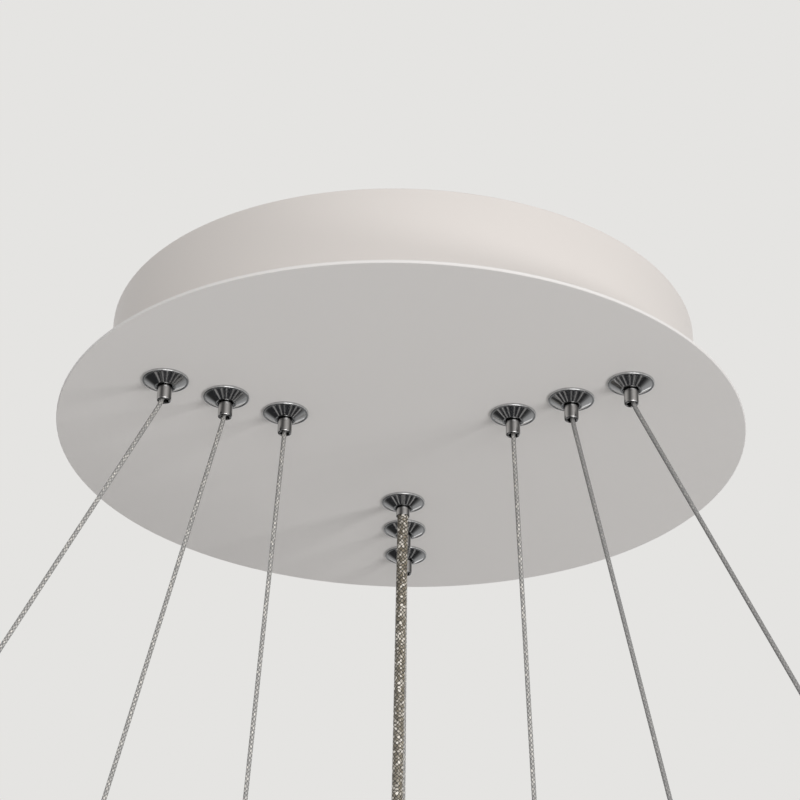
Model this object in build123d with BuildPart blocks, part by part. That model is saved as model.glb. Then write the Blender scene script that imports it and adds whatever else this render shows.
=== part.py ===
from build123d import *
import os
from math import cos, pi, radians, sin, sqrt, tan

os.makedirs("parts", exist_ok=True)

# A three-ring LED chandelier. Millimetres, +Z up, origin on the ceiling at the centre of the canopy.
# The canopy is screwed to the ceiling, and three lit rings hang below it on wires that run through
# ball grips in its plate. The supply cord carries the small ring's third point.

# ---------------------------------------------------------------- driving dimensions

# Canopy
CANOPY_HEIGHT = 51.5          # ceiling to the underside of the plate
PLATE_RADIUS = 160.0
PLATE_SHEET = 1.5
PLATE_EDGE = 0.3              # chamfer round the plate's rim
DRUM_RADIUS = 137.5
DRUM_SHEET = 1.2
DRUM_FLANGE = 8.0             # turned in at the drum's lower end
SIDE_SCREW_DROP = 13.0        # from the ceiling to the side screws' axis

# Ceiling bracket
BAR_WIDTH = 25.0
BAR_THICK = 2.0
TAB_WIDTH = 16.0
TAB_DROP = 21.0
CEILING_SLOT_SPACING = 100.0
CEILING_SLOT_LENGTH = 20.0
CEILING_SLOT_WIDTH = 5.2
SUPPLY_HOLE_RADIUS = 9.0
TAB_GAP = 0.3                 # between the tab's corners and the drum

# Grips: three rows of three, seen from the axis
ROW_AZIMUTHS = {"rear": 90.0, "left": 210.0, "right": 330.0}
PLACE_RADII = {"inner": 60.0, "middle": 90.0, "outer": 120.0}
FLANGE_RADIUS = 10.5
FLANGE_LIP = 0.9
FLANGE_LIP_WIDTH = 0.8
FLANGE_LIP_BULGE = 1.35       # height of the lip's crown over its edges
CONE_HEIGHT = 4.0
CONE_TIP_RADIUS = 4.8
CONE_MOUTH_RADIUS = 4.1
CONE_MOUTH_DEPTH = 3.0
BARREL_RADIUS = 5.0
BARREL_TOP = 18.0             # above the plate's underside
PLATE_HOLE_CLEARANCE = 0.15
BARREL_NUT_FLATS = 13.0
BARREL_NUT_HEIGHT = 3.0
CHAMBER_RADIUS = 4.0
CHAMBER_START = 7.0           # top of the clamping cone
CONE_START = 3.0              # foot of the clamping cone
CAP_DEPTH = 3.4
CAP_LIP_HEIGHT = 1.0
CAP_HOLE_RADIUS = 1.35
CAP_THREAD_STEP = 0.2         # the cap's thread is this much wider than the chamber
THREAD_CLEARANCE = 0.05
HEX_SIDES = 6

# Nozzle: release sleeve with the ball cage
NOZZLE_RADIUS = 3.25
NOZZLE_REACH = 7.0            # below the cone's tip
NOZZLE_BORE_RADIUS = 2.1
NOZZLE_CHAMFER = 0.35
NOZZLE_TRAVEL = 2.0
SLIDE_CLEARANCE = 0.05
CAGE_GAP = 0.14               # between the cage and the clamping cone
CAGE_TOP = 8.5
CAGE_BORE_RADIUS = 1.2
BALL_RADIUS = 1.2
BALL_ORBIT = 2.4
BALL_HEIGHT = 5.6
BALL_CLEARANCE = 0.12
BALL_COUNT = 3

# Spring in each barrel
SPRING_RADIUS = 3.2
SPRING_WIRE_RADIUS = 0.3
SPRING_TURNS = 4
SPRING_GAP = 0.1

# Suspension wires
WIRE_RADIUS = 1.05
WIRE_BEND_SHARE = 0.9         # part of the run to the bend's corner that its arc takes
WIRE_FREE_TOP = 4.0           # below the plate: the wires' straight part ends here
WIRE_KNEE_DROP = 5.5          # from there to the bend's corner
BALL_END_RADIUS = 2.0

# Spare wire above each grip
TAIL_RISE = 6.0
TAIL_LOOP_RADIUS = 13.0
TAIL_LOOP_SIDES = 6
TAIL_CORNERS = 4              # corners of the loop that the spare wire goes round
TAIL_CLIMB = 1.0              # from each corner of the loop to the next
TAIL_HANDS = {"rear": 1, "left": -1, "right": 1}
BEND_SHARE = 0.45             # of a corner's shorter run, for each arc's tangent

# Supply cord
CORD_RADIUS = 2.65
CORD_SLEEVE_GAP = 0.1
SLEEVE_REACH = 4.3            # below the cone's tip
CORD_ABOVE_BARREL = 8.0
CORD_BEND_RADIUS = 60.0
CORD_KNEE_DROP = 12.0
CORD_KNEE_ABOVE_ENTRY = 6.0
CORE_RADIUS = 0.9
CORE_SPREAD = 1.15
CLAMP_SCREW_RADIUS = 1.5
CLAMP_SCREW_LENGTH = 5.0
CLAMP_SCREW_HEIGHT = 11.0

# Rings: outer radius and drop from the plate to the ball ends
RING_RADII = {"large": 300.0, "medium": 200.0, "small": 100.0}
RING_DROPS = {"large": 370.0, "medium": 450.0, "small": 540.0}
RING_PLACES = {"large": "outer", "medium": "middle", "small": "inner"}
CHANNEL_WIDTH = 20.0
CHANNEL_HEIGHT = 30.0
CHANNEL_WALL = 1.5
CHANNEL_EDGE = 0.6
MID_WEB_DROP = 13.0
DIFFUSER_THICK = 2.5
DIFFUSER_LEG = 1.2
DIFFUSER_LEG_HEIGHT = 6.0
DIFFUSER_GAP = 0.1
STRIP_WIDTH = 10.0
STRIP_THICK = 0.6
LED_SIZE = 5.0
LED_HEIGHT = 1.5
LED_PITCH = 20.0

# Anchors on the rings
ANCHOR_RADIUS = 4.5
ANCHOR_HEIGHT = 9.0
ANCHOR_BALL_HEIGHT = 6.0
ANCHOR_STUD_RADIUS = 2.5
ANCHOR_STUD_LENGTH = 6.0
ANCHOR_NUT_FLATS = 8.0
ANCHOR_NUT_HEIGHT = 2.5
SOCKET_CLEARANCE = 0.15
SOCKET_NECK_RADIUS = 1.75
SOCKET_MOUTH_ANGLE = 36.0
ANCHOR_EDGE = 0.5
CORD_ENTRY_RADIUS = 5.5
CORD_ENTRY_HEIGHT = 14.0
CORD_ENTRY_TAPER = 3.0
CORD_ENTRY_NECK = 6.0
CORD_ENTRY_NECK_RADIUS = 3.6
CORD_ENTRY_NUT_FLATS = 11.0

# Weld studs and their nuts
STUD_RADIUS = 1.5
STUD_HEIGHT = 6.0
STUD_HOLE_CLEARANCE = 0.2
STUD_NUT_FLATS = 5.5
STUD_NUT_HEIGHT = 2.4
DRUM_STUD_COUNT = 6

# Side screws
SIDE_SCREW_RADIUS = 2.0
SIDE_SCREW_LENGTH = 9.0
SIDE_HEAD_RADIUS = 4.0
SIDE_HEAD_HEIGHT = 1.1
SIDE_HOLE_CLEARANCE = 0.3
DRIVE_SLOT_WIDTH = 0.9
DRIVE_SLOT_DEPTH = 0.6

# LED driver, on the plate
DRIVER_Y = -86.0
DRIVER_LENGTH = 118.0
DRIVER_WIDTH = 42.0
DRIVER_HEIGHT = 26.0
DRIVER_WALL = 1.8
DRIVER_LID = 2.0
DRIVER_EAR = 11.0
DRIVER_EAR_THICK = 2.5
DRIVER_CORNER = 3.0
LID_LIP = 2.5
LID_EDGE = 0.8
BOARD_THICK = 1.6
BOARD_GAP = 0.5
BOARD_FOOT = 4.0
BOARD_POST_RADIUS = 2.5
BOARD_POST_INSET = 4.0
TRANSFORMER_LENGTH = 24.0
TRANSFORMER_WIDTH = 20.0
TRANSFORMER_HEIGHT = 13.0
CAPACITOR_X = 22.0
CAPACITOR_RADIUS = 5.0
CAPACITOR_HEIGHT = 11.0
CHOKE_X = 38.0
CHOKE_SIZE = 11.0

# Terminal block, on the plate
BLOCK_X = -66.0
BLOCK_Y = 52.0
BLOCK_LENGTH = 33.0
BLOCK_WIDTH = 18.0
BLOCK_HEIGHT = 14.0
BLOCK_EAR = 8.0
BLOCK_EAR_THICK = 3.0
POLE_PITCH = 10.0
POLE_COUNT = 3
POLE_BORE_RADIUS = 1.9
POLE_SCREW_RADIUS = 1.6
POLE_SCREW_LENGTH = 4.0

POLE_RISE = 6.0

# Leads
LEAD_RADIUS = 1.1
LEAD_BEND_RADIUS = 8.0
LEAD_RISE = 4.0               # over the plate, where they lie on it loosely
LEAD_ENTRY = 4.0              # into a case or a block
LEAD_SPACING = 6.0
LEAD_HOLE_CLEARANCE = 0.2
DRIVER_HOLE_RISE = 12.0
MAINS_HOLE_X = -28.0
OUTPUT_HOLE_X = 28.0
FEED_HOLE_X = 47.0
CRIMP_RADIUS = 1.9
CRIMP_LENGTH = 7.0
EARTH_X = -24.0
EARTH_Y = 34.0
EARTH_LUG_RADIUS = 3.4
EARTH_LUG_THICK = 0.8
EARTH_BARREL_RADIUS = 1.6
EARTH_BARREL_LENGTH = 6.0

# ---------------------------------------------------------------- places worked out from them

PLATE_UNDER = -CANOPY_HEIGHT
PLATE_TOP = PLATE_UNDER + PLATE_SHEET
DRUM_INSIDE = DRUM_RADIUS - DRUM_SHEET
DRUM_STUD_CIRCLE = DRUM_INSIDE - DRUM_FLANGE / 2
TAB_FACE = sqrt(DRUM_INSIDE**2 - (TAB_WIDTH / 2) ** 2) - TAB_GAP
DRIVER_EAR_X = (DRIVER_LENGTH + DRIVER_EAR) / 2
BLOCK_EAR_X = BLOCK_X + (BLOCK_LENGTH + BLOCK_EAR) / 2
GUIDE_RADIUS = NOZZLE_RADIUS + SLIDE_CLEARANCE
CAP_RADIUS = CHAMBER_RADIUS + CAP_THREAD_STEP - THREAD_CLEARANCE
CAP_SEAT = BARREL_TOP - CAP_DEPTH
DRIVER_BACK = DRIVER_Y + DRIVER_WIDTH / 2
DRIVER_HOLE_LEVEL = PLATE_TOP + DRIVER_HOLE_RISE
BOARD_LENGTH = DRIVER_LENGTH - 2 * DRIVER_WALL - 2 * BOARD_GAP
BOARD_WIDTH = DRIVER_WIDTH - 2 * DRIVER_WALL - 2 * BOARD_GAP
LEAD_LEVEL = PLATE_TOP + LEAD_RISE
RING_TOPS = {
    ring: PLATE_UNDER - RING_DROPS[ring] - ANCHOR_BALL_HEIGHT for ring in RING_RADII
}


def place(row, spot):
    """Centre of a grip on the plate, from its row and its spot in the row."""
    turn = radians(ROW_AZIMUTHS[row])
    reach = PLACE_RADII[spot]
    return reach * cos(turn), reach * sin(turn)


def upright(x, y, z):
    """Plane through a vertical axis: its x runs along X, its y runs up."""
    return Plane(origin=(x, y, z), x_dir=(1, 0, 0), z_dir=(0, -1, 0))


def vertical_axis(x, y):
    """Vertical axis through a point of the plate."""
    return Axis((x, y, 0), (0, 0, 1))


def tube(points, bends, tube_radius):
    """Round tube along straight runs joined by tangent arcs."""
    with BuildPart() as piece:
        with BuildLine() as route:
            FilletPolyline(*points, radius=bends)
        with BuildSketch(Plane(origin=route.line @ 0, z_dir=route.line % 0)):
            Circle(tube_radius)
        sweep(path=route.line)
    return piece.part


CORD_PLACE = ("rear", "inner")
GRIPS = [
    (row, spot)
    for row in ROW_AZIMUTHS
    for spot in PLACE_RADII
    if (row, spot) != CORD_PLACE
]
DRUM_STUDS = [
    (DRUM_STUD_CIRCLE * cos(2 * pi * i / DRUM_STUD_COUNT),
     DRUM_STUD_CIRCLE * sin(2 * pi * i / DRUM_STUD_COUNT))
    for i in range(DRUM_STUD_COUNT)
]
DRIVER_STUDS = [(-DRIVER_EAR_X, DRIVER_Y), (DRIVER_EAR_X, DRIVER_Y)]
BLOCK_STUDS = [(BLOCK_EAR_X, BLOCK_Y)]
EARTH_STUDS = [(EARTH_X, EARTH_Y)]
ALL_STUDS = DRUM_STUDS + DRIVER_STUDS + BLOCK_STUDS + EARTH_STUDS

# ---------------------------------------------------------------- ceiling bracket

with BuildPart() as bracket:
    with BuildSketch(Plane.XY.offset(-BAR_THICK)):
        Rectangle(2 * TAB_FACE, BAR_WIDTH)
    extrude(amount=BAR_THICK)
    with BuildSketch(Plane.XY.offset(-TAB_DROP)):
        with Locations((TAB_FACE - BAR_THICK / 2, 0), (-TAB_FACE + BAR_THICK / 2, 0)):
            Rectangle(BAR_THICK, TAB_WIDTH)
    extrude(amount=TAB_DROP - BAR_THICK)
    with BuildSketch(Plane.XY.offset(-BAR_THICK)):
        with Locations((-CEILING_SLOT_SPACING / 2, 0), (CEILING_SLOT_SPACING / 2, 0)):
            SlotOverall(CEILING_SLOT_LENGTH, CEILING_SLOT_WIDTH)
        Circle(SUPPLY_HOLE_RADIUS)
    extrude(amount=BAR_THICK, mode=Mode.SUBTRACT)
    # The bar is cut back to the tabs' width near the drum, where its square corners would meet it.
    with BuildSketch(Plane.XY.offset(-BAR_THICK)):
        Rectangle(2 * TAB_FACE + BAR_WIDTH, BAR_WIDTH)
        Circle(DRUM_INSIDE - TAB_GAP, mode=Mode.SUBTRACT)
    extrude(amount=BAR_THICK, mode=Mode.SUBTRACT)
    with BuildSketch(Plane.YZ.offset(-TAB_FACE)):
        with Locations((0, -SIDE_SCREW_DROP)):
            Circle(SIDE_SCREW_RADIUS + THREAD_CLEARANCE)
    extrude(amount=2 * TAB_FACE, mode=Mode.SUBTRACT)
bracket.part.label = "ceiling_bracket"
export_step(bracket.part, "parts/ceiling_bracket.step")

# ---------------------------------------------------------------- canopy

with BuildPart() as drum:
    with BuildSketch(Plane.XZ):
        with BuildLine():
            Polyline(
                (DRUM_INSIDE - DRUM_FLANGE, PLATE_TOP),
                (DRUM_RADIUS, PLATE_TOP),
                (DRUM_RADIUS, 0),
                (DRUM_INSIDE, 0),
                (DRUM_INSIDE, PLATE_TOP + DRUM_SHEET),
                (DRUM_INSIDE - DRUM_FLANGE, PLATE_TOP + DRUM_SHEET),
                close=True,
            )
        make_face()
    revolve(axis=Axis.Z)
    with BuildSketch(Plane.XY.offset(PLATE_TOP)):
        with Locations(*DRUM_STUDS):
            Circle(STUD_RADIUS + STUD_HOLE_CLEARANCE)
    extrude(amount=DRUM_SHEET, mode=Mode.SUBTRACT)
    with BuildSketch(Plane.YZ.offset(-DRUM_RADIUS)):
        with Locations((0, -SIDE_SCREW_DROP)):
            Circle(SIDE_SCREW_RADIUS + SIDE_HOLE_CLEARANCE)
    extrude(amount=2 * DRUM_RADIUS, mode=Mode.SUBTRACT)
drum.part.label = "canopy_drum"
export_step(drum.part, "parts/canopy_drum.step")

with BuildPart() as plate:
    with BuildSketch(Plane.XY.offset(PLATE_UNDER)):
        Circle(PLATE_RADIUS)
        with Locations(*[place(row, spot) for row in ROW_AZIMUTHS for spot in PLACE_RADII]):
            Circle(BARREL_RADIUS + PLATE_HOLE_CLEARANCE, mode=Mode.SUBTRACT)
    extrude(amount=PLATE_SHEET)
    rims = plate.edges().filter_by(GeomType.CIRCLE).filter_by(lambda e: e.radius > DRUM_RADIUS)
    chamfer(rims, PLATE_EDGE)
    with BuildSketch(Plane.XY.offset(PLATE_TOP)):
        with Locations(*ALL_STUDS):
            Circle(STUD_RADIUS)
    extrude(amount=STUD_HEIGHT)
plate.part.label = "canopy_plate"
export_step(plate.part, "parts/canopy_plate.step")

with BuildPart() as side_screws:
    with BuildSketch(Plane.YZ.offset(DRUM_RADIUS)):
        with Locations((0, -SIDE_SCREW_DROP)):
            Circle(SIDE_HEAD_RADIUS)
    extrude(amount=SIDE_HEAD_HEIGHT)
    with BuildSketch(Plane.YZ.offset(DRUM_RADIUS + SIDE_HEAD_HEIGHT - DRIVE_SLOT_DEPTH)):
        with Locations((0, -SIDE_SCREW_DROP)):
            Rectangle(2 * SIDE_HEAD_RADIUS, DRIVE_SLOT_WIDTH)
    extrude(amount=DRIVE_SLOT_DEPTH, mode=Mode.SUBTRACT)
    with BuildSketch(Plane.YZ.offset(DRUM_RADIUS - SIDE_SCREW_LENGTH)):
        with Locations((0, -SIDE_SCREW_DROP)):
            Circle(SIDE_SCREW_RADIUS)
    extrude(amount=SIDE_SCREW_LENGTH)
    mirror(about=Plane.YZ)
side_screws.part.label = "side_screws"
export_step(side_screws.part, "parts/side_screws.step")


def nut_seat(stud):
    """Height of the piece that a stud's nut is tightened on."""
    if stud in DRUM_STUDS:
        return PLATE_TOP + DRUM_SHEET
    if stud in DRIVER_STUDS:
        return PLATE_TOP + DRIVER_EAR_THICK
    if stud in BLOCK_STUDS:
        return PLATE_TOP + BLOCK_EAR_THICK
    return PLATE_TOP + EARTH_LUG_THICK


with BuildPart() as plate_nuts:
    for stud in ALL_STUDS:
        with BuildSketch(Plane.XY.offset(nut_seat(stud))):
            with Locations(stud):
                RegularPolygon(STUD_NUT_FLATS / 2, HEX_SIDES, major_radius=False)
                Circle(STUD_RADIUS + THREAD_CLEARANCE, mode=Mode.SUBTRACT)
        extrude(amount=STUD_NUT_HEIGHT)
plate_nuts.part.label = "plate_nuts"
export_step(plate_nuts.part, "parts/plate_nuts.step")

# ---------------------------------------------------------------- wire grips


def flange_outline():
    """Outside of a grip, from its mouth round the cone and up the barrel: radius and height."""
    return [
        (CONE_MOUTH_RADIUS, -CONE_HEIGHT),
        (CONE_TIP_RADIUS, -CONE_HEIGHT),
        (FLANGE_RADIUS - FLANGE_LIP_WIDTH, -FLANGE_LIP),
        (FLANGE_RADIUS - FLANGE_LIP_WIDTH / 2, -FLANGE_LIP * FLANGE_LIP_BULGE),
        (FLANGE_RADIUS, -FLANGE_LIP),
        (FLANGE_RADIUS, 0),
        (BARREL_RADIUS, 0),
        (BARREL_RADIUS, BARREL_TOP),
    ]


def gripper_body(x, y):
    """Chrome cone and threaded barrel, with the clamping cone inside."""
    with BuildPart() as body:
        with BuildSketch(upright(x, y, PLATE_UNDER)):
            with BuildLine():
                Polyline(
                    *flange_outline(),
                    (CAP_RADIUS + THREAD_CLEARANCE, BARREL_TOP),
                    (CAP_RADIUS + THREAD_CLEARANCE, CAP_SEAT),
                    (CHAMBER_RADIUS, CAP_SEAT),
                    (CHAMBER_RADIUS, CHAMBER_START),
                    (GUIDE_RADIUS, CONE_START),
                    (GUIDE_RADIUS, CONE_MOUTH_DEPTH - CONE_HEIGHT),
                    (CONE_MOUTH_RADIUS, CONE_MOUTH_DEPTH - CONE_HEIGHT),
                    close=True,
                )
            make_face()
        revolve(axis=vertical_axis(x, y))
    return body


def cage_radius(height):
    """Outside of the ball cage, a steady gap inside the clamping cone."""
    slope = (CHAMBER_RADIUS - GUIDE_RADIUS) / (CHAMBER_START - CONE_START)
    return GUIDE_RADIUS + slope * (height - CONE_START) - CAGE_GAP


def gripper_nozzle(x, y):
    """Release sleeve with its ball cage, and the three balls in the cage."""
    tip = -CONE_HEIGHT - NOZZLE_REACH
    foot = CONE_START + (NOZZLE_RADIUS - GUIDE_RADIUS + CAGE_GAP) * (
        (CHAMBER_START - CONE_START) / (CHAMBER_RADIUS - GUIDE_RADIUS)
    )
    shoulder = CHAMBER_START - CAGE_GAP
    ball_level = PLATE_UNDER + BALL_HEIGHT
    with BuildPart() as nozzle:
        with BuildSketch(upright(x, y, PLATE_UNDER)):
            with BuildLine():
                Polyline(
                    (NOZZLE_BORE_RADIUS, tip),
                    (NOZZLE_RADIUS - NOZZLE_CHAMFER, tip),
                    (NOZZLE_RADIUS, tip + NOZZLE_CHAMFER),
                    (NOZZLE_RADIUS, foot),
                    (cage_radius(shoulder), shoulder),
                    (cage_radius(shoulder), CAGE_TOP),
                    (CAGE_BORE_RADIUS, CAGE_TOP),
                    (CAGE_BORE_RADIUS, CONE_START),
                    (NOZZLE_BORE_RADIUS, CONE_START - NOZZLE_BORE_RADIUS + CAGE_BORE_RADIUS),
                    close=True,
                )
            make_face()
        revolve(axis=vertical_axis(x, y))
        for ball in range(BALL_COUNT):
            turn = 2 * pi * ball / BALL_COUNT
            outward = (cos(turn), sin(turn), 0)
            with BuildSketch(Plane(origin=(x, y, ball_level), z_dir=outward)):
                Circle(BALL_RADIUS + BALL_CLEARANCE)
            extrude(amount=CHAMBER_RADIUS, mode=Mode.SUBTRACT)
        for ball in range(BALL_COUNT):
            turn = 2 * pi * ball / BALL_COUNT
            with Locations((x + BALL_ORBIT * cos(turn), y + BALL_ORBIT * sin(turn), ball_level)):
                Sphere(BALL_RADIUS)
    return nozzle


def gripper_spring(x, y):
    """Coil spring between the ball cage and the barrel's cap."""
    low = PLATE_UNDER + CAGE_TOP + SPRING_GAP + SPRING_WIRE_RADIUS
    high = PLATE_UNDER + CAP_SEAT - SPRING_GAP - SPRING_WIRE_RADIUS
    with BuildPart() as spring:
        with BuildLine() as coil:
            Helix((high - low) / SPRING_TURNS, high - low, SPRING_RADIUS, center=(x, y, low))
        with BuildSketch(Plane(origin=coil.line @ 0, z_dir=coil.line % 0)):
            Circle(SPRING_WIRE_RADIUS)
        sweep(path=coil.line, is_frenet=True)
    return spring


for row, spot in GRIPS:
    grip_x, grip_y = place(row, spot)

    body = gripper_body(grip_x, grip_y)
    body.part.label = f"gripper_body_{row}_{spot}"
    export_step(body.part, f"parts/gripper_body_{row}_{spot}.step")

    nozzle = gripper_nozzle(grip_x, grip_y)
    nozzle.part.label = f"gripper_nozzle_{row}_{spot}"
    export_step(nozzle.part, f"parts/gripper_nozzle_{row}_{spot}.step")

    spring = gripper_spring(grip_x, grip_y)
    spring.part.label = f"gripper_spring_{row}_{spot}"
    export_step(spring.part, f"parts/gripper_spring_{row}_{spot}.step")

with BuildPart() as gripper_caps:
    for row, spot in GRIPS:
        with BuildSketch(Plane.XY.offset(PLATE_UNDER + CAP_SEAT)):
            with Locations(place(row, spot)):
                Circle(CAP_RADIUS)
                Circle(CAP_HOLE_RADIUS, mode=Mode.SUBTRACT)
        extrude(amount=CAP_DEPTH)
        with BuildSketch(Plane.XY.offset(PLATE_UNDER + BARREL_TOP)):
            with Locations(place(row, spot)):
                Circle(BARREL_RADIUS)
                Circle(CAP_HOLE_RADIUS, mode=Mode.SUBTRACT)
        extrude(amount=CAP_LIP_HEIGHT)
gripper_caps.part.label = "gripper_caps"
export_step(gripper_caps.part, "parts/gripper_caps.step")

with BuildPart() as gripper_nuts:
    with BuildSketch(Plane.XY.offset(PLATE_TOP)):
        with Locations(*[place(row, spot) for row in ROW_AZIMUTHS for spot in PLACE_RADII]):
            RegularPolygon(BARREL_NUT_FLATS / 2, HEX_SIDES, major_radius=False)
            Circle(BARREL_RADIUS + THREAD_CLEARANCE, mode=Mode.SUBTRACT)
    extrude(amount=BARREL_NUT_HEIGHT)
gripper_nuts.part.label = "gripper_nuts"
export_step(gripper_nuts.part, "parts/gripper_nuts.step")

# ---------------------------------------------------------------- cord gland

cord_x, cord_y = place(*CORD_PLACE)
clamp_level = PLATE_UNDER + CLAMP_SCREW_HEIGHT

with BuildPart() as gland_body:
    with BuildSketch(upright(cord_x, cord_y, PLATE_UNDER)):
        with BuildLine():
            Polyline(
                *flange_outline(),
                (GUIDE_RADIUS, BARREL_TOP),
                (GUIDE_RADIUS, CONE_MOUTH_DEPTH - CONE_HEIGHT),
                (CONE_MOUTH_RADIUS, CONE_MOUTH_DEPTH - CONE_HEIGHT),
                close=True,
            )
        make_face()
    revolve(axis=vertical_axis(cord_x, cord_y))
    with BuildSketch(Plane(origin=(cord_x, cord_y, clamp_level), z_dir=(0, 1, 0))):
        Circle(CLAMP_SCREW_RADIUS + THREAD_CLEARANCE)
    extrude(amount=BARREL_RADIUS + CLAMP_SCREW_LENGTH, mode=Mode.SUBTRACT)
gland_body.part.label = "cord_gland_body"
export_step(gland_body.part, "parts/cord_gland_body.step")

with BuildPart() as gland_sleeve:
    with BuildSketch(upright(cord_x, cord_y, PLATE_UNDER)):
        with BuildLine():
            Polyline(
                (CORD_RADIUS + CORD_SLEEVE_GAP, -CONE_HEIGHT - SLEEVE_REACH),
                (NOZZLE_RADIUS - NOZZLE_CHAMFER / 2, -CONE_HEIGHT - SLEEVE_REACH),
                (NOZZLE_RADIUS, -CONE_HEIGHT - SLEEVE_REACH + NOZZLE_CHAMFER / 2),
                (NOZZLE_RADIUS, BARREL_TOP),
                (CORD_RADIUS + CORD_SLEEVE_GAP, BARREL_TOP),
                close=True,
            )
        make_face()
    revolve(axis=vertical_axis(cord_x, cord_y))
gland_sleeve.part.label = "cord_gland_sleeve"
export_step(gland_sleeve.part, "parts/cord_gland_sleeve.step")

with BuildPart() as clamp_screw:
    screw_start = NOZZLE_RADIUS + THREAD_CLEARANCE
    with BuildSketch(Plane(origin=(cord_x, cord_y + screw_start, clamp_level), z_dir=(0, 1, 0))):
        Circle(CLAMP_SCREW_RADIUS)
    extrude(amount=CLAMP_SCREW_LENGTH)
clamp_screw.part.label = "cord_clamp_screw"
export_step(clamp_screw.part, "parts/cord_clamp_screw.step")

# ---------------------------------------------------------------- suspension wires and cord


def along_row(row, reach, height):
    """Point at a distance from the axis in a row's direction."""
    turn = radians(ROW_AZIMUTHS[row])
    return Vector(reach * cos(turn), reach * sin(turn), height)


WIRE_TOP = PLATE_UNDER - WIRE_FREE_TOP
for ring, spot in RING_PLACES.items():
    start_reach = PLACE_RADII[spot]
    end_reach = RING_RADII[ring] - CHANNEL_WIDTH / 2
    ball_level = PLATE_UNDER - RING_DROPS[ring]
    runs = []
    for row in ROW_AZIMUTHS:
        if (row, spot) == CORD_PLACE:
            continue
        runs.append([
            along_row(row, start_reach, WIRE_TOP),
            along_row(row, start_reach, WIRE_TOP - WIRE_KNEE_DROP),
            along_row(row, end_reach, ball_level),
        ])
    lean = (runs[0][2] - runs[0][1]).get_angle(Vector(0, 0, -1))
    wire_bend = WIRE_BEND_SHARE * WIRE_KNEE_DROP / tan(radians(lean / 2))
    wire_tubes = [tube(run, [wire_bend], WIRE_RADIUS) for run in runs]
    with BuildPart() as wires:
        add(wire_tubes)
        with Locations(*[Plane(origin=run[-1], z_dir=run[-1] - run[-2]) for run in runs]):
            Sphere(BALL_END_RADIUS)
    wires.part.label = f"{ring}_ring_wires"
    export_step(wires.part, f"parts/{ring}_ring_wires.step")
    print(ring, "ring wires lean", round(lean, 2), "degrees, bend radius", round(wire_bend, 1))


def tail_route(row, spot):
    """Up through the grip, then one open loop of spare wire over the plate."""
    x, y = place(row, spot)
    level = PLATE_UNDER + BARREL_TOP + CAP_LIP_HEIGHT + TAIL_RISE
    outward = radians(ROW_AZIMUTHS[row])
    hub_x = x - TAIL_LOOP_RADIUS * cos(outward)
    hub_y = y - TAIL_LOOP_RADIUS * sin(outward)
    points = [Vector(x, y, WIRE_TOP), Vector(x, y, level)]
    for corner in range(1, TAIL_CORNERS + 1):
        turn = outward + TAIL_HANDS[row] * 2 * pi * corner / TAIL_LOOP_SIDES
        points.append(Vector(
            hub_x + TAIL_LOOP_RADIUS * cos(turn),
            hub_y + TAIL_LOOP_RADIUS * sin(turn),
            level + TAIL_CLIMB * corner,
        ))
    return points


def longest_bends(points, largest):
    """Radius of each corner's arc: as large as its two runs allow, up to a largest one."""
    bends = []
    for before, corner, after in zip(points, points[1:], points[2:]):
        run_in = corner - before
        run_out = after - corner
        shorter = min(run_in.length, run_out.length)
        half_turn = radians(run_in.get_angle(run_out)) / 2
        bends.append(min(largest, BEND_SHARE * shorter / tan(half_turn)))
    return bends


tails = {(row, spot): tail_route(row, spot) for row, spot in GRIPS}
tail_tubes = [
    tube(points, longest_bends(points, TAIL_LOOP_RADIUS), WIRE_RADIUS) for points in tails.values()
]
with BuildPart() as wire_tails:
    add(tail_tubes)
wire_tails.part.label = "wire_tails"
export_step(wire_tails.part, "parts/wire_tails.step")

# The supply cord: a straight start in its gland, a slight turn, a taut run to the small ring's
# cord entry, and a straight end in there.
cord_end_reach = RING_RADII["small"] - CHANNEL_WIDTH / 2
cord_points = [
    along_row("rear", PLACE_RADII["inner"], WIRE_TOP),
    along_row("rear", PLACE_RADII["inner"], PLATE_UNDER - CORD_KNEE_DROP),
    along_row("rear", cord_end_reach, RING_TOPS["small"] + CORD_ENTRY_HEIGHT + CORD_KNEE_ABOVE_ENTRY),
    along_row("rear", cord_end_reach, RING_TOPS["small"] - CORD_ENTRY_NECK),
]
cord_bends = [CORD_BEND_RADIUS, CORD_BEND_RADIUS]
supply_cord_tube = tube(cord_points, cord_bends, CORD_RADIUS)
with BuildPart() as supply_cord:
    add(supply_cord_tube)
supply_cord.part.label = "supply_cord"
export_step(supply_cord.part, "parts/supply_cord.step")
cord_length = supply_cord.part.volume / (pi * CORD_RADIUS**2)
print("supply cord length", round(cord_length, 1), "bend radii", cord_bends)

# The cord's upper end: its jacket through the gland, then its two cores to the driver.
jacket_top = PLATE_UNDER + BARREL_TOP + CORD_ABOVE_BARREL
core_tubes = []
for side in (-1, 1):
    core_points = [
        Vector(side * CORE_SPREAD, cord_y, jacket_top),
        Vector(side * CORE_SPREAD, cord_y, jacket_top + 8),
        Vector(3 + 2 * side, cord_y - 16, jacket_top + 6),
        Vector(7 + 2.5 * side, cord_y - 30, LEAD_LEVEL),
        Vector(13 + 2.5 * side, -26, LEAD_LEVEL + side),
        Vector(OUTPUT_HOLE_X + LEAD_SPACING / 2 * side, DRIVER_BACK + 9, DRIVER_HOLE_LEVEL),
        Vector(OUTPUT_HOLE_X + LEAD_SPACING / 2 * side, DRIVER_BACK - LEAD_ENTRY, DRIVER_HOLE_LEVEL),
    ]
    core_tubes.append(tube(core_points, longest_bends(core_points, LEAD_BEND_RADIUS), CORE_RADIUS))
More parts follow.
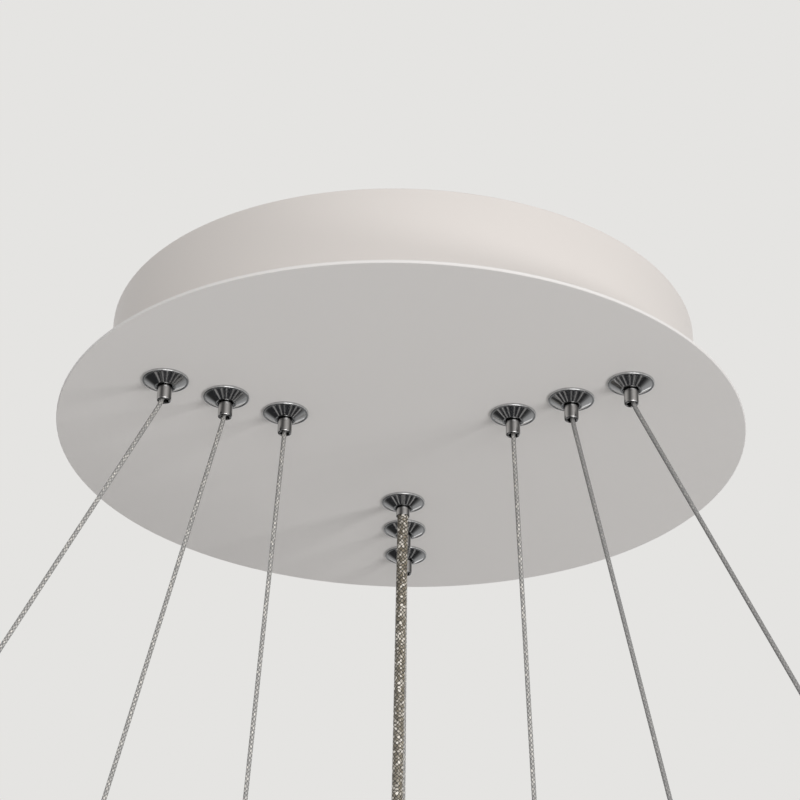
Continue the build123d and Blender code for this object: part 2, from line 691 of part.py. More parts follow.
with BuildPart() as cord_tail:
    with BuildSketch(Plane.XY.offset(WIRE_TOP)):
        with Locations((cord_x, cord_y)):
            Circle(CORD_RADIUS)
    extrude(amount=jacket_top - WIRE_TOP)
    add(core_tubes)
cord_tail.part.label = "supply_cord_tail"
export_step(cord_tail.part, "parts/supply_cord_tail.step")

# ---------------------------------------------------------------- driver

with BuildPart() as driver_case:
    with BuildSketch(Plane.XY.offset(PLATE_TOP)):
        with Locations((0, DRIVER_Y)):
            RectangleRounded(DRIVER_LENGTH, DRIVER_WIDTH, DRIVER_CORNER)
    extrude(amount=DRIVER_HEIGHT - DRIVER_LID)
    with BuildSketch(Plane.XY.offset(PLATE_TOP + DRIVER_WALL)):
        with Locations((0, DRIVER_Y)):
            RectangleRounded(
                DRIVER_LENGTH - 2 * DRIVER_WALL,
                DRIVER_WIDTH - 2 * DRIVER_WALL,
                DRIVER_CORNER - DRIVER_WALL,
            )
    extrude(amount=DRIVER_HEIGHT, mode=Mode.SUBTRACT)
    with BuildSketch(Plane.XY.offset(PLATE_TOP + DRIVER_WALL)):
        with Locations((0, DRIVER_Y)):
            with GridLocations(
                BOARD_LENGTH - 2 * BOARD_POST_INSET, BOARD_WIDTH - 2 * BOARD_POST_INSET, 2, 2
            ):
                Circle(BOARD_POST_RADIUS)
    extrude(amount=BOARD_FOOT)
    with BuildSketch(Plane.XY.offset(PLATE_TOP)):
        with Locations(*DRIVER_STUDS):
            Rectangle(DRIVER_EAR, DRIVER_EAR)
            Circle(STUD_RADIUS + STUD_HOLE_CLEARANCE, mode=Mode.SUBTRACT)
    extrude(amount=DRIVER_EAR_THICK)
    back_holes = [
        (x, DRIVER_HOLE_LEVEL)
        for x in (
            MAINS_HOLE_X - LEAD_SPACING / 2,
            MAINS_HOLE_X + LEAD_SPACING / 2,
            OUTPUT_HOLE_X - LEAD_SPACING / 2,
            OUTPUT_HOLE_X + LEAD_SPACING / 2,
            -FEED_HOLE_X,
            FEED_HOLE_X,
        )
    ]
    with BuildSketch(Plane.XZ.offset(-DRIVER_BACK)):
        with Locations(*back_holes):
            Circle(LEAD_RADIUS + LEAD_HOLE_CLEARANCE)
    extrude(amount=DRIVER_WALL, mode=Mode.SUBTRACT)
    with BuildSketch(Plane.YZ.offset(-DRIVER_LENGTH / 2)):
        with Locations((DRIVER_Y, DRIVER_HOLE_LEVEL)):
            Circle(LEAD_RADIUS + LEAD_HOLE_CLEARANCE)
    extrude(amount=DRIVER_LENGTH, mode=Mode.SUBTRACT)
driver_case.part.label = "driver_case"
export_step(driver_case.part, "parts/driver_case.step")

with BuildPart() as driver_lid:
    with BuildSketch(Plane.XY.offset(PLATE_TOP + DRIVER_HEIGHT - DRIVER_LID)):
        with Locations((0, DRIVER_Y)):
            RectangleRounded(DRIVER_LENGTH, DRIVER_WIDTH, DRIVER_CORNER)
    extrude(amount=DRIVER_LID)
    with BuildSketch(Plane.XY.offset(PLATE_TOP + DRIVER_HEIGHT - DRIVER_LID - LID_LIP)):
        with Locations((0, DRIVER_Y)):
            RectangleRounded(
                DRIVER_LENGTH - 2 * DRIVER_WALL - 2 * BOARD_GAP,
                DRIVER_WIDTH - 2 * DRIVER_WALL - 2 * BOARD_GAP,
                DRIVER_CORNER - DRIVER_WALL,
            )
            Rectangle(
                DRIVER_LENGTH - 4 * DRIVER_WALL - 2 * BOARD_GAP,
                DRIVER_WIDTH - 4 * DRIVER_WALL - 2 * BOARD_GAP,
                mode=Mode.SUBTRACT,
            )
    extrude(amount=LID_LIP)
    chamfer(driver_lid.faces().sort_by(Axis.Z)[-1].edges(), LID_EDGE)
driver_lid.part.label = "driver_lid"
export_step(driver_lid.part, "parts/driver_lid.step")

board_under = PLATE_TOP + DRIVER_WALL + BOARD_FOOT
with BuildPart() as driver_board:
    with BuildSketch(Plane.XY.offset(board_under)):
        with Locations((0, DRIVER_Y)):
            Rectangle(BOARD_LENGTH, BOARD_WIDTH)
    extrude(amount=BOARD_THICK)
    with BuildSketch(Plane.XY.offset(board_under + BOARD_THICK)):
        with Locations((0, DRIVER_Y)):
            Rectangle(TRANSFORMER_LENGTH, TRANSFORMER_WIDTH)
    extrude(amount=TRANSFORMER_HEIGHT)
    with BuildSketch(Plane.XY.offset(board_under + BOARD_THICK)):
        with Locations((-CAPACITOR_X, DRIVER_Y), (CAPACITOR_X, DRIVER_Y)):
            Circle(CAPACITOR_RADIUS)
        with Locations((-CHOKE_X, DRIVER_Y), (CHOKE_X, DRIVER_Y)):
            Rectangle(CHOKE_SIZE, CHOKE_SIZE)
    extrude(amount=CAPACITOR_HEIGHT)
driver_board.part.label = "driver_board"
export_step(driver_board.part, "parts/driver_board.step")

# ---------------------------------------------------------------- terminal block

pole_xs = [BLOCK_X + POLE_PITCH * (i - (POLE_COUNT - 1) / 2) for i in range(POLE_COUNT)]
pole_level = PLATE_TOP + POLE_RISE
with BuildPart() as terminal_block:
    with BuildSketch(Plane.XY.offset(PLATE_TOP)):
        with Locations((BLOCK_X, BLOCK_Y)):
            Rectangle(BLOCK_LENGTH, BLOCK_WIDTH)
    extrude(amount=BLOCK_HEIGHT)
    with BuildSketch(Plane.XY.offset(PLATE_TOP)):
        with Locations((BLOCK_EAR_X, BLOCK_Y)):
            Rectangle(BLOCK_EAR, BLOCK_WIDTH)
            Circle(STUD_RADIUS + STUD_HOLE_CLEARANCE, mode=Mode.SUBTRACT)
    extrude(amount=BLOCK_EAR_THICK)
    with BuildSketch(Plane.XZ.offset(-BLOCK_Y - BLOCK_WIDTH / 2)):
        with Locations(*[(x, pole_level) for x in pole_xs]):
            Circle(POLE_BORE_RADIUS)
    extrude(amount=BLOCK_WIDTH, mode=Mode.SUBTRACT)
    with BuildSketch(Plane.XY.offset(pole_level)):
        with Locations(*[(x, BLOCK_Y) for x in pole_xs]):
            Circle(POLE_SCREW_RADIUS + THREAD_CLEARANCE)
    extrude(amount=BLOCK_HEIGHT, mode=Mode.SUBTRACT)
terminal_block.part.label = "terminal_block"
export_step(terminal_block.part, "parts/terminal_block.step")

with BuildPart() as terminal_screws:
    with BuildSketch(Plane.XY.offset(PLATE_TOP + BLOCK_HEIGHT - POLE_SCREW_LENGTH)):
        with Locations(*[(x, BLOCK_Y) for x in pole_xs]):
            Circle(POLE_SCREW_RADIUS)
    extrude(amount=POLE_SCREW_LENGTH)
    with BuildSketch(Plane.XY.offset(PLATE_TOP + BLOCK_HEIGHT - DRIVE_SLOT_DEPTH)):
        with Locations(*[(x, BLOCK_Y) for x in pole_xs]):
            Rectangle(2 * POLE_SCREW_RADIUS, DRIVE_SLOT_WIDTH / 2)
    extrude(amount=DRIVE_SLOT_DEPTH, mode=Mode.SUBTRACT)
terminal_screws.part.label = "terminal_screws"
export_step(terminal_screws.part, "parts/terminal_screws.step")

# ---------------------------------------------------------------- leads in the canopy

block_front = BLOCK_Y - BLOCK_WIDTH / 2
mains_tubes = []
for side in (-1, 1):
    lead_points = [
        Vector(pole_xs[(side + 1) // 2], block_front + LEAD_ENTRY, pole_level),
        Vector(pole_xs[(side + 1) // 2], block_front - 9, pole_level + 1),
        Vector(-38 + 2.5 * side, 12 + 4 * side, LEAD_LEVEL),
        Vector(-22 + 2.5 * side, -18, LEAD_LEVEL + 1),
        Vector(MAINS_HOLE_X + LEAD_SPACING / 2 * side, DRIVER_BACK + 9, DRIVER_HOLE_LEVEL),
        Vector(MAINS_HOLE_X + LEAD_SPACING / 2 * side, DRIVER_BACK - LEAD_ENTRY, DRIVER_HOLE_LEVEL),
    ]
    mains_tubes.append(tube(lead_points, longest_bends(lead_points, LEAD_BEND_RADIUS), LEAD_RADIUS))
with BuildPart() as mains_leads:
    add(mains_tubes)
mains_leads.part.label = "mains_leads"
export_step(mains_leads.part, "parts/mains_leads.step")

lug_level = PLATE_TOP + EARTH_BARREL_RADIUS
lug_end = EARTH_X - EARTH_LUG_RADIUS - EARTH_BARREL_LENGTH
earth_points = [
    Vector(lug_end, EARTH_Y, lug_level),
    Vector(lug_end - 6, EARTH_Y, lug_level + 1),
    Vector(pole_xs[2] + 4, block_front - 6, LEAD_LEVEL),
    Vector(pole_xs[2], block_front - 2, pole_level),
    Vector(pole_xs[2], block_front + LEAD_ENTRY, pole_level),
]
earth_tube = tube(earth_points, longest_bends(earth_points, LEAD_BEND_RADIUS), LEAD_RADIUS)
with BuildPart() as earth_lead:
    add(earth_tube)
    with BuildSketch(Plane.XY.offset(PLATE_TOP)):
        with Locations((EARTH_X, EARTH_Y)):
            Circle(EARTH_LUG_RADIUS)
            Circle(STUD_RADIUS + STUD_HOLE_CLEARANCE, mode=Mode.SUBTRACT)
    extrude(amount=EARTH_LUG_THICK)
    with BuildSketch(Plane.YZ.offset(lug_end)):
        with Locations((EARTH_Y, lug_level)):
            Circle(EARTH_BARREL_RADIUS)
    extrude(amount=EARTH_BARREL_LENGTH)
earth_lead.part.label = "earth_lead"
export_step(earth_lead.part, "parts/earth_lead.step")

# The large and the medium ring are fed through two of their wires each. A crimp joins each spare
# end to a lead from the driver.
feed_tubes = []
crimp_planes = []
for row, hand in (("left", -1), ("right", 1)):
    for spot in ("outer", "middle"):
        end = tails[(row, spot)][-1]
        heading = (end - tails[(row, spot)][-2]).normalized()
        crimp_planes.append(Plane(origin=end, z_dir=heading))
        crimp_end = end + heading * CRIMP_LENGTH
        if spot == "outer":
            feed_points = [
                crimp_end,
                crimp_end + heading * 8,
                Vector(hand * (DRIVER_LENGTH / 2 + 14), DRIVER_Y - 2, DRIVER_HOLE_LEVEL + 6),
                Vector(hand * (DRIVER_LENGTH / 2 + 7), DRIVER_Y, DRIVER_HOLE_LEVEL),
                Vector(hand * (DRIVER_LENGTH / 2 - LEAD_ENTRY), DRIVER_Y, DRIVER_HOLE_LEVEL),
            ]
        else:
            feed_points = [
                crimp_end,
                crimp_end + heading * 4,
                Vector(hand * (FEED_HOLE_X + 2), DRIVER_BACK + 5, DRIVER_HOLE_LEVEL + 7),
                Vector(hand * FEED_HOLE_X, DRIVER_BACK + 4, DRIVER_HOLE_LEVEL),
                Vector(hand * FEED_HOLE_X, DRIVER_BACK - LEAD_ENTRY, DRIVER_HOLE_LEVEL),
            ]
        feed_tubes.append(tube(feed_points, longest_bends(feed_points, LEAD_BEND_RADIUS), LEAD_RADIUS))
with BuildPart() as ring_feed_leads:
    add(feed_tubes)
    for plane in crimp_planes:
        with BuildSketch(plane):
            Circle(CRIMP_RADIUS)
        extrude(amount=CRIMP_LENGTH)
ring_feed_leads.part.label = "ring_feed_leads"
export_step(ring_feed_leads.part, "parts/ring_feed_leads.step")

# ---------------------------------------------------------------- rings


def anchor_rows(ring):
    """Rows whose wire ends on a ring in a ball anchor."""
    return [row for row in ROW_AZIMUTHS if (row, RING_PLACES[ring]) != CORD_PLACE]


def has_cord(ring):
    """True for the ring that the supply cord carries."""
    return len(anchor_rows(ring)) < len(ROW_AZIMUTHS)


def ring_channel(ring):
    """Bent aluminium profile: a closed upper duct, and an open lower one for the light."""
    outer = RING_RADII[ring]
    inner = outer - CHANNEL_WIDTH
    middle = outer - CHANNEL_WIDTH / 2
    top = RING_TOPS[ring]
    with BuildPart() as channel:
        with BuildSketch(Plane.XZ) as section:
            with Locations((middle, top - CHANNEL_HEIGHT / 2)):
                Rectangle(CHANNEL_WIDTH, CHANNEL_HEIGHT)
            chamfer(section.vertices().group_by(Axis.Z)[-1], CHANNEL_EDGE)
            duct_height = MID_WEB_DROP - CHANNEL_WALL
            with Locations((middle, top - CHANNEL_WALL - duct_height / 2)):
                Rectangle(CHANNEL_WIDTH - 2 * CHANNEL_WALL, duct_height, mode=Mode.SUBTRACT)
            trough_height = CHANNEL_HEIGHT - MID_WEB_DROP - CHANNEL_WALL
            with Locations((middle, top - CHANNEL_HEIGHT + trough_height / 2)):
                Rectangle(CHANNEL_WIDTH - 2 * CHANNEL_WALL, trough_height, mode=Mode.SUBTRACT)
        revolve(axis=Axis.Z)
        with BuildSketch(Plane.XY.offset(top - CHANNEL_WALL)):
            with Locations(*[along_row(row, middle, 0) for row in anchor_rows(ring)]):
                Circle(ANCHOR_STUD_RADIUS + PLATE_HOLE_CLEARANCE)
            if has_cord(ring):
                with Locations(along_row(CORD_PLACE[0], middle, 0)):
                    Circle(CORD_ENTRY_NECK_RADIUS + PLATE_HOLE_CLEARANCE)
        extrude(amount=CHANNEL_WALL, mode=Mode.SUBTRACT)
    return channel


def ring_diffuser(ring):
    """Milky strip that closes the lower duct, with a leg up each wall."""
    middle = RING_RADII[ring] - CHANNEL_WIDTH / 2
    floor = RING_TOPS[ring] - CHANNEL_HEIGHT
    width = CHANNEL_WIDTH - 2 * CHANNEL_WALL - 2 * DIFFUSER_GAP
    with BuildPart() as diffuser:
        with BuildSketch(Plane.XZ):
            with Locations((middle, floor + (DIFFUSER_THICK + DIFFUSER_LEG_HEIGHT) / 2)):
                Rectangle(width, DIFFUSER_THICK + DIFFUSER_LEG_HEIGHT)
            with Locations((middle, floor + DIFFUSER_THICK + DIFFUSER_LEG_HEIGHT / 2)):
                Rectangle(width - 2 * DIFFUSER_LEG, DIFFUSER_LEG_HEIGHT, mode=Mode.SUBTRACT)
        revolve(axis=Axis.Z)
    return diffuser


def ring_led_strip(ring):
    """Flat strip under the middle web, with its LEDs facing down."""
    middle = RING_RADII[ring] - CHANNEL_WIDTH / 2
    web_under = RING_TOPS[ring] - MID_WEB_DROP - CHANNEL_WALL
    led_count = round(2 * pi * middle / LED_PITCH)
    with BuildPart() as strip:
        with BuildSketch(Plane.XY.offset(web_under - STRIP_THICK)):
            Circle(middle + STRIP_WIDTH / 2)
            Circle(middle - STRIP_WIDTH / 2, mode=Mode.SUBTRACT)
        extrude(amount=STRIP_THICK)
        with BuildSketch(Plane.XY.offset(web_under - STRIP_THICK - LED_HEIGHT)):
            with PolarLocations(middle, led_count):
                Rectangle(LED_SIZE, LED_SIZE)
        extrude(amount=LED_HEIGHT)
    return strip


def ball_anchor(x, y, top):
    """Chrome barrel with a socket for a wire's ball end, its stud and its nut."""
    neck_rise = sqrt((BALL_END_RADIUS + SOCKET_CLEARANCE) ** 2 - SOCKET_NECK_RADIUS**2)
    neck = ANCHOR_BALL_HEIGHT + neck_rise
    mouth_radius = SOCKET_NECK_RADIUS + (ANCHOR_HEIGHT - neck) * tan(radians(SOCKET_MOUTH_ANGLE))
    socket = BALL_END_RADIUS + SOCKET_CLEARANCE
    with BuildPart() as anchor:
        with BuildSketch(upright(x, y, top)):
            with BuildLine():
                Polyline(
                    (0, ANCHOR_BALL_HEIGHT - socket),
                    (0, -ANCHOR_STUD_LENGTH),
                    (ANCHOR_STUD_RADIUS, -ANCHOR_STUD_LENGTH),
                    (ANCHOR_STUD_RADIUS, 0),
                    (ANCHOR_RADIUS, 0),
                    (ANCHOR_RADIUS, ANCHOR_HEIGHT - ANCHOR_EDGE),
                    (ANCHOR_RADIUS - ANCHOR_EDGE, ANCHOR_HEIGHT),
                    (mouth_radius, ANCHOR_HEIGHT),
                    (SOCKET_NECK_RADIUS, neck),
                )
                ThreePointArc(
                    (SOCKET_NECK_RADIUS, neck),
                    (socket, ANCHOR_BALL_HEIGHT),
                    (0, ANCHOR_BALL_HEIGHT - socket),
                )
            make_face()
        revolve(axis=vertical_axis(x, y))
    return anchor.part


def cord_entry(x, y, top):
    """Chrome barrel that grips the supply cord on the ring, with a threaded neck."""
    bore = CORD_RADIUS + CORD_SLEEVE_GAP
    with BuildPart() as entry:
        with BuildSketch(upright(x, y, top)):
            with BuildLine():
                Polyline(
                    (bore, -CORD_ENTRY_NECK),
                    (CORD_ENTRY_NECK_RADIUS, -CORD_ENTRY_NECK),
                    (CORD_ENTRY_NECK_RADIUS, 0),
                    (CORD_ENTRY_RADIUS, 0),
                    (CORD_ENTRY_RADIUS, CORD_ENTRY_HEIGHT - CORD_ENTRY_TAPER),
                    (CORD_ENTRY_RADIUS - CORD_ENTRY_TAPER / 2, CORD_ENTRY_HEIGHT),
                    (bore, CORD_ENTRY_HEIGHT),
                    close=True,
                )
            make_face()
        revolve(axis=vertical_axis(x, y))
    return entry.part


for ring in RING_RADII:
    channel = ring_channel(ring)
    channel.part.label = f"{ring}_ring_channel"
    export_step(channel.part, f"parts/{ring}_ring_channel.step")

    diffuser = ring_diffuser(ring)
    diffuser.part.label = f"{ring}_ring_diffuser"
    export_step(diffuser.part, f"parts/{ring}_ring_diffuser.step")

    strip = ring_led_strip(ring)
    strip.part.label = f"{ring}_ring_led_strip"
    export_step(strip.part, f"parts/{ring}_ring_led_strip.step")

    seats = [
        along_row(row, RING_RADII[ring] - CHANNEL_WIDTH / 2, RING_TOPS[ring])
        for row in anchor_rows(ring)
    ]
    barrels = [ball_anchor(*seat) for seat in seats]
    if has_cord(ring):
        barrels.append(cord_entry(cord_points[-1].X, cord_points[-1].Y, RING_TOPS[ring]))
    with BuildPart() as anchors:
        add(barrels)
        with BuildSketch(Plane.XY.offset(RING_TOPS[ring] - CHANNEL_WALL - ANCHOR_NUT_HEIGHT)):
            with Locations(*[(seat.X, seat.Y) for seat in seats]):
                RegularPolygon(ANCHOR_NUT_FLATS / 2, HEX_SIDES, major_radius=False)
                Circle(ANCHOR_STUD_RADIUS + THREAD_CLEARANCE, mode=Mode.SUBTRACT)
            if has_cord(ring):
                with Locations((cord_points[-1].X, cord_points[-1].Y)):
                    RegularPolygon(CORD_ENTRY_NUT_FLATS / 2, HEX_SIDES, major_radius=False)
                    Circle(CORD_ENTRY_NECK_RADIUS + THREAD_CLEARANCE, mode=Mode.SUBTRACT)
        extrude(amount=ANCHOR_NUT_HEIGHT)
    anchors.part.label = f"{ring}_ring_anchors"
    export_step(anchors.part, f"parts/{ring}_ring_anchors.step")
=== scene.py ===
"""A three-ring LED chandelier under its ceiling canopy: the looks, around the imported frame."""

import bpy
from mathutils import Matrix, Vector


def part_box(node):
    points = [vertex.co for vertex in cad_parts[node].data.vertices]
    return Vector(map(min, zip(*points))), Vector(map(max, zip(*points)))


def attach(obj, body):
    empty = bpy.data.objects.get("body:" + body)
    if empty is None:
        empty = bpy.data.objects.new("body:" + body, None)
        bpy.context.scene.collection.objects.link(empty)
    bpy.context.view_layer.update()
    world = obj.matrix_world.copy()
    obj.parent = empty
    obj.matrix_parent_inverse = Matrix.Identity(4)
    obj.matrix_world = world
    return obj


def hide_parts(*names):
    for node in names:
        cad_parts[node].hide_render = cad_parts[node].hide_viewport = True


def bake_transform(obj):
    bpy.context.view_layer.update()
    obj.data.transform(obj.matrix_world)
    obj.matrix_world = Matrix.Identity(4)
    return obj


bl_info = {
    "name": "Ring chandelier",
    "version": (1, 0, 0),
    "blender": (4, 5, 0),
    "location": "View3D > Sidebar > Ring chandelier",
    "description": "Dresses a ring chandelier: canopy, chrome wire grips, ropes, cord and rings",
    "category": "Object",
}

import math
from functools import partial

import bmesh
import bpy
import numpy as np
from bpy.props import FloatProperty, FloatVectorProperty, IntProperty, PointerProperty
from mathutils import Matrix, Vector

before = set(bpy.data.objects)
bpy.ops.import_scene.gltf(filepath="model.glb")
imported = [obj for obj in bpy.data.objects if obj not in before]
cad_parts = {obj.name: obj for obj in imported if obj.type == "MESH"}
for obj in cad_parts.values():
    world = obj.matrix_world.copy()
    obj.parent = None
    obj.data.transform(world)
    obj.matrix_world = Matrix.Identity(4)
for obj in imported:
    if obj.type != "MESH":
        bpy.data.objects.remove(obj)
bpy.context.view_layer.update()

MM = 0.001
TAU = 2 * math.pi
ROWS = {"rear": 90.0, "left": 210.0, "right": 330.0}
SPOTS = ("inner", "middle", "outer")
CORD_PLACE = ("rear", "inner")
# Turn round a cord, from the side that faces the room, to the side with the most painted shade.
PAINTED_SHADE_SIDE = math.radians(90.0)
GRIPS = [(row, spot) for row in ROWS for spot in SPOTS if (row, spot) != CORD_PLACE]
RING_OF_SPOT = {"outer": "large", "middle": "medium", "inner": "small"}
RINGS = ("large", "medium", "small")
RING_WIDTH = 20.0 * MM
BALL_RADIUS = 2.0 * MM
# Edges that turn more than this stay sharp in a smooth piece.
SHARP_TURN = math.radians(30.0)


def middle(node):
    """Centre of a node's box: x and y in metres."""
    low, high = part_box(node)
    return (low.x + high.x) / 2, (low.y + high.y) / 2


PLATE_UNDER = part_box("canopy_plate")[0].z
WIRE_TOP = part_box("large_ring_wires")[1].z
GRIP_CENTRES = {grip: middle("gripper_body_%s_%s" % grip) for grip in GRIPS}
CORD_CENTRE = middle("cord_gland_body")
RING_BOXES = {ring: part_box(f"{ring}_ring_channel") for ring in RINGS}
RING_RADII = {ring: high.x for ring, (low, high) in RING_BOXES.items()}
BALL_LEVELS = {ring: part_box(f"{ring}_ring_wires")[0].z + BALL_RADIUS for ring in RINGS}


# ---- settings


def setting(kind, **extra):
    """Maker of one kind of setting from a name, a description and a default."""
    return lambda name, description, default: kind(
        name=name, description=description, default=default, **extra
    )


sized = setting(FloatProperty, unit="LENGTH")
angled = setting(FloatProperty, subtype="ANGLE")
measured = setting(FloatProperty)
counted = setting(IntProperty)
tinted = setting(FloatVectorProperty, subtype="COLOR", size=3)
placed = setting(FloatVectorProperty, subtype="TRANSLATION", unit="LENGTH")


class StageSettings(bpy.types.PropertyGroup):
    """Camera, light and backdrop."""

    camera_place: placed(
        "Camera place", "Where the camera stands, below the canopy", (0.0344, -1.0539, -0.6083)
    )
    heading: angled("Heading", "Turn of the view from +Y towards +X", math.radians(-1.91))
    pitch: angled("Pitch", "How far the view looks up", math.radians(28.82))
    roll: angled("Roll", "Turn of the picture about the view", math.radians(1.34))
    lens: measured("Lens", "Focal length in millimetres on a 36 mm wide sensor", 114.9)
    floor_drop: sized("Floor drop", "From the ceiling to the floor", 3.2)
    backdrop: tinted("Backdrop", "Pale colour behind the object", (0.783, 0.776, 0.760))
    room_light: measured("Room light", "Even light from all sides", 0.43)
    key_power: measured("Key power", "Watts of the light from below on the right", 32.0)
    fill_power: measured("Fill power", "Watts of the broad light from the front", 41.5)


class WireSettings(bpy.types.PropertyGroup):
    """Suspension wires: strands laid round each other under a clear coat."""

    radius: sized("Radius", "Outside radius over the coat", 1.05 * MM)
    strands: counted("Strands", "Outer strands in a wire", 6)
    lay: sized("Lay", "Length in which a strand goes once round", 7.0 * MM)
    plain: tinted("Plain strand", "Steel strands of the two plain ropes", (0.42, 0.418, 0.412))
    carriers: counted("Carriers", "Crossing strands each way in a feed wire's sheath", 4)
    pitch: sized("Sheath pitch", "Length in which a crossing strand goes once round", 8.4 * MM)
    bright: tinted("Bright strand", "Tinned strands of a feed wire", (0.56, 0.555, 0.54))
    dark: tinted("Gaps", "Gaps between a feed wire's strands", (0.06, 0.06, 0.06))


class CordSettings(bpy.types.PropertyGroup):
    """Supply cord: a metal braid under a clear jacket."""

    radius: sized("Radius", "Outside radius of the jacket", 2.65 * MM)
    pitch: sized("Braid pitch", "Length in which a carrier of the braid goes once round", 16.0 * MM)
    carriers: counted("Carriers", "Carriers of the braid that run each way", 8)
    bright: tinted("Bright wire", "Tinned wires of the braid", (0.36, 0.31, 0.22))
    dark: tinted("Gaps", "Dark gaps between the braid's wires", (0.018, 0.015, 0.012))


class GripSettings(bpy.types.PropertyGroup):
    """Chrome cones and satin nozzles of the wire grips."""

    flange_radius: sized("Flange radius", "Radius of the cone where it meets the plate", 10.5 * MM)
    nozzle_radius: sized("Nozzle radius", "Outside radius of the release sleeve", 3.25 * MM)
    chrome: tinted("Chrome", "Colour of the plated cones", (0.745, 0.75, 0.755))
    nickel: tinted("Nickel", "Colour of the satin sleeves", (0.66, 0.655, 0.65))


class CanopySettings(bpy.types.PropertyGroup):
    """Painted sheet of plate and drum."""

    paint: tinted("Plate paint", "White matte paint of the plate", (0.80, 0.786, 0.776))
    # Painted shade: the drum's paint is the plate's paint made darker and warmer, for how the light
    # falls on the drum.
    drum_paint: tinted("Drum paint", "Slightly warmer white of the drum", (0.73, 0.696, 0.668))
    grain: sized("Grain", "Height of the paint's fine orange peel", 0.02 * MM)


class RingSettings(bpy.types.PropertyGroup):
    """Ring profiles and their milky strips."""

    edge: sized("Edge", "Radius of the profile's rounded edges", 0.6 * MM)
    paint: tinted("Paint", "White powder coat", (0.82, 0.81, 0.80))
    milk: tinted("Milk", "Milky acrylic", (0.88, 0.87, 0.84))


GROUPS = {
    "stage": StageSettings,
    "wires": WireSettings,
    "cord": CordSettings,
    "grips": GripSettings,
    "canopy": CanopySettings,
    "rings": RingSettings,
}


def settings(group):
    """One group of settings of the scene."""
    return getattr(bpy.context.scene, "ring_light_" + group)


# ---- shapes


def link_new(name, data):
    """Object of some data, linked to the scene."""
    made = bpy.data.objects.new(name, data)
    bpy.context.scene.collection.objects.link(made)
    return made


def grid(rows, columns, wrap_rows, wrap_columns):
    """Faces of a grid of points, row after row, and a UV for each corner of each face.

    A wrapped side is joined to its start. U runs across the columns, v along the rows, 0 to 1.
    """
    i, j = np.meshgrid(
        np.arange(rows if wrap_rows else rows - 1),
        np.arange(columns if wrap_columns else columns - 1),
        indexing="ij",
    )
    down, right = (i + 1) % rows, (j + 1) % columns
    starts = (i * columns + j, i * columns + right, down * columns + right, down * columns + j)
    u = np.stack([j, j + 1, j + 1, j], axis=-1) / j.shape[1]
    v = np.stack([i, i, i + 1, i + 1], axis=-1) / i.shape[0]
    return np.stack(starts, axis=-1).reshape(-1, 4), np.stack([u, v], axis=-1).reshape(-1, 2)


def new_piece(name, points, faces, corner_uv=None):
    """Mesh object at the origin from arrays of points and quads, its poles merged and closed."""
    mesh = bpy.data.meshes.new(name)
    mesh.from_pydata(points.reshape(-1, 3).tolist(), [], faces.tolist())
    if corner_uv is not None:
        layer = mesh.uv_layers.new(name="UVMap")
        layer.data.foreach_set("uv", corner_uv.astype(np.float32).ravel())
    work = bmesh.new()
    work.from_mesh(mesh)
    same_place = 1e-7
    bmesh.ops.remove_doubles(work, verts=work.verts, dist=same_place)
    bmesh.ops.recalc_face_normals(work, faces=work.faces)
    work.to_mesh(mesh)
    work.free()
    mesh.shade_smooth()
    return link_new(name, mesh)


def rounded(rows, level=0.0, steps=5):
    """Closed outline over a level from rows of (radius, height, rounding) in millimetres.

    Each corner gives way to a curve of steps + 1 points: a weighted mean of the corner and of two
    points its rounding away along its edges, as in a quadratic curve with the corner as its handle.
    """
    most = 0.49  # share of an edge that one rounding may take
    table = np.array(rows, float) * MM + (0.0, level, 0.0)
    corners, rounding = table[:, :2], table[:, 2:]
    ends = []
    for shift in (1, -1):
        edge = np.roll(corners, shift, axis=0) - corners
        length = np.linalg.norm(edge, axis=1, keepdims=True)
        ends.append(corners + edge / length * np.minimum(rounding, length * most))
    start, end = ends
    t = np.linspace(0, 1, steps + 1)[None, :, None]
    curve = (1 - t) ** 2 * start[:, None] + 2 * t * (1 - t) * corners[:, None] + t**2 * end[:, None]
    return curve.reshape(-1, 2)


def swung(centre, radius, height, angle):
    """Points (x + r cos a, y + r sin a, z): a row for each radius and height, a point per angle."""
    x, y = centre[0] + radius * np.cos(angle), centre[1] + radius * np.sin(angle)
    return np.stack([x, y, np.broadcast_to(height, x.shape)], axis=-1)


def lathe(name, outline, centre, turns):
    """Closed shell: each point (radius, height) of a closed outline swung round an upright axis."""
    angles = np.arange(turns) * TAU / turns
    points = swung(centre, outline[:, :1], outline[:, 1:], angles)
    return new_piece(name, points, *grid(len(outline), turns, True, True))


def ball(name, centre, radius, rings=16, turns=24):
    """Sphere: rings of latitude b from pole to pole, at radius r cos b and height r sin b."""
    b = np.linspace(-math.pi / 2, math.pi / 2, rings + 1)[:, None]
    angles = np.arange(turns)[None, :] * TAU / turns
    points = swung(centre, radius * np.cos(b), centre[2] + radius * np.sin(b), angles)
    faces, _ = grid(rings + 1, turns, False, True)
    return new_piece(name, points, faces)


def joined(name, pieces):
    """One object of several meshes, in the order given."""
    bpy.ops.object.select_all(action="DESELECT")
    for piece in pieces:
        piece.select_set(True)
    whole = pieces[0]
    bpy.context.view_layer.objects.active = whole
    bpy.ops.object.join()
    whole.name = whole.data.name = name
    return whole


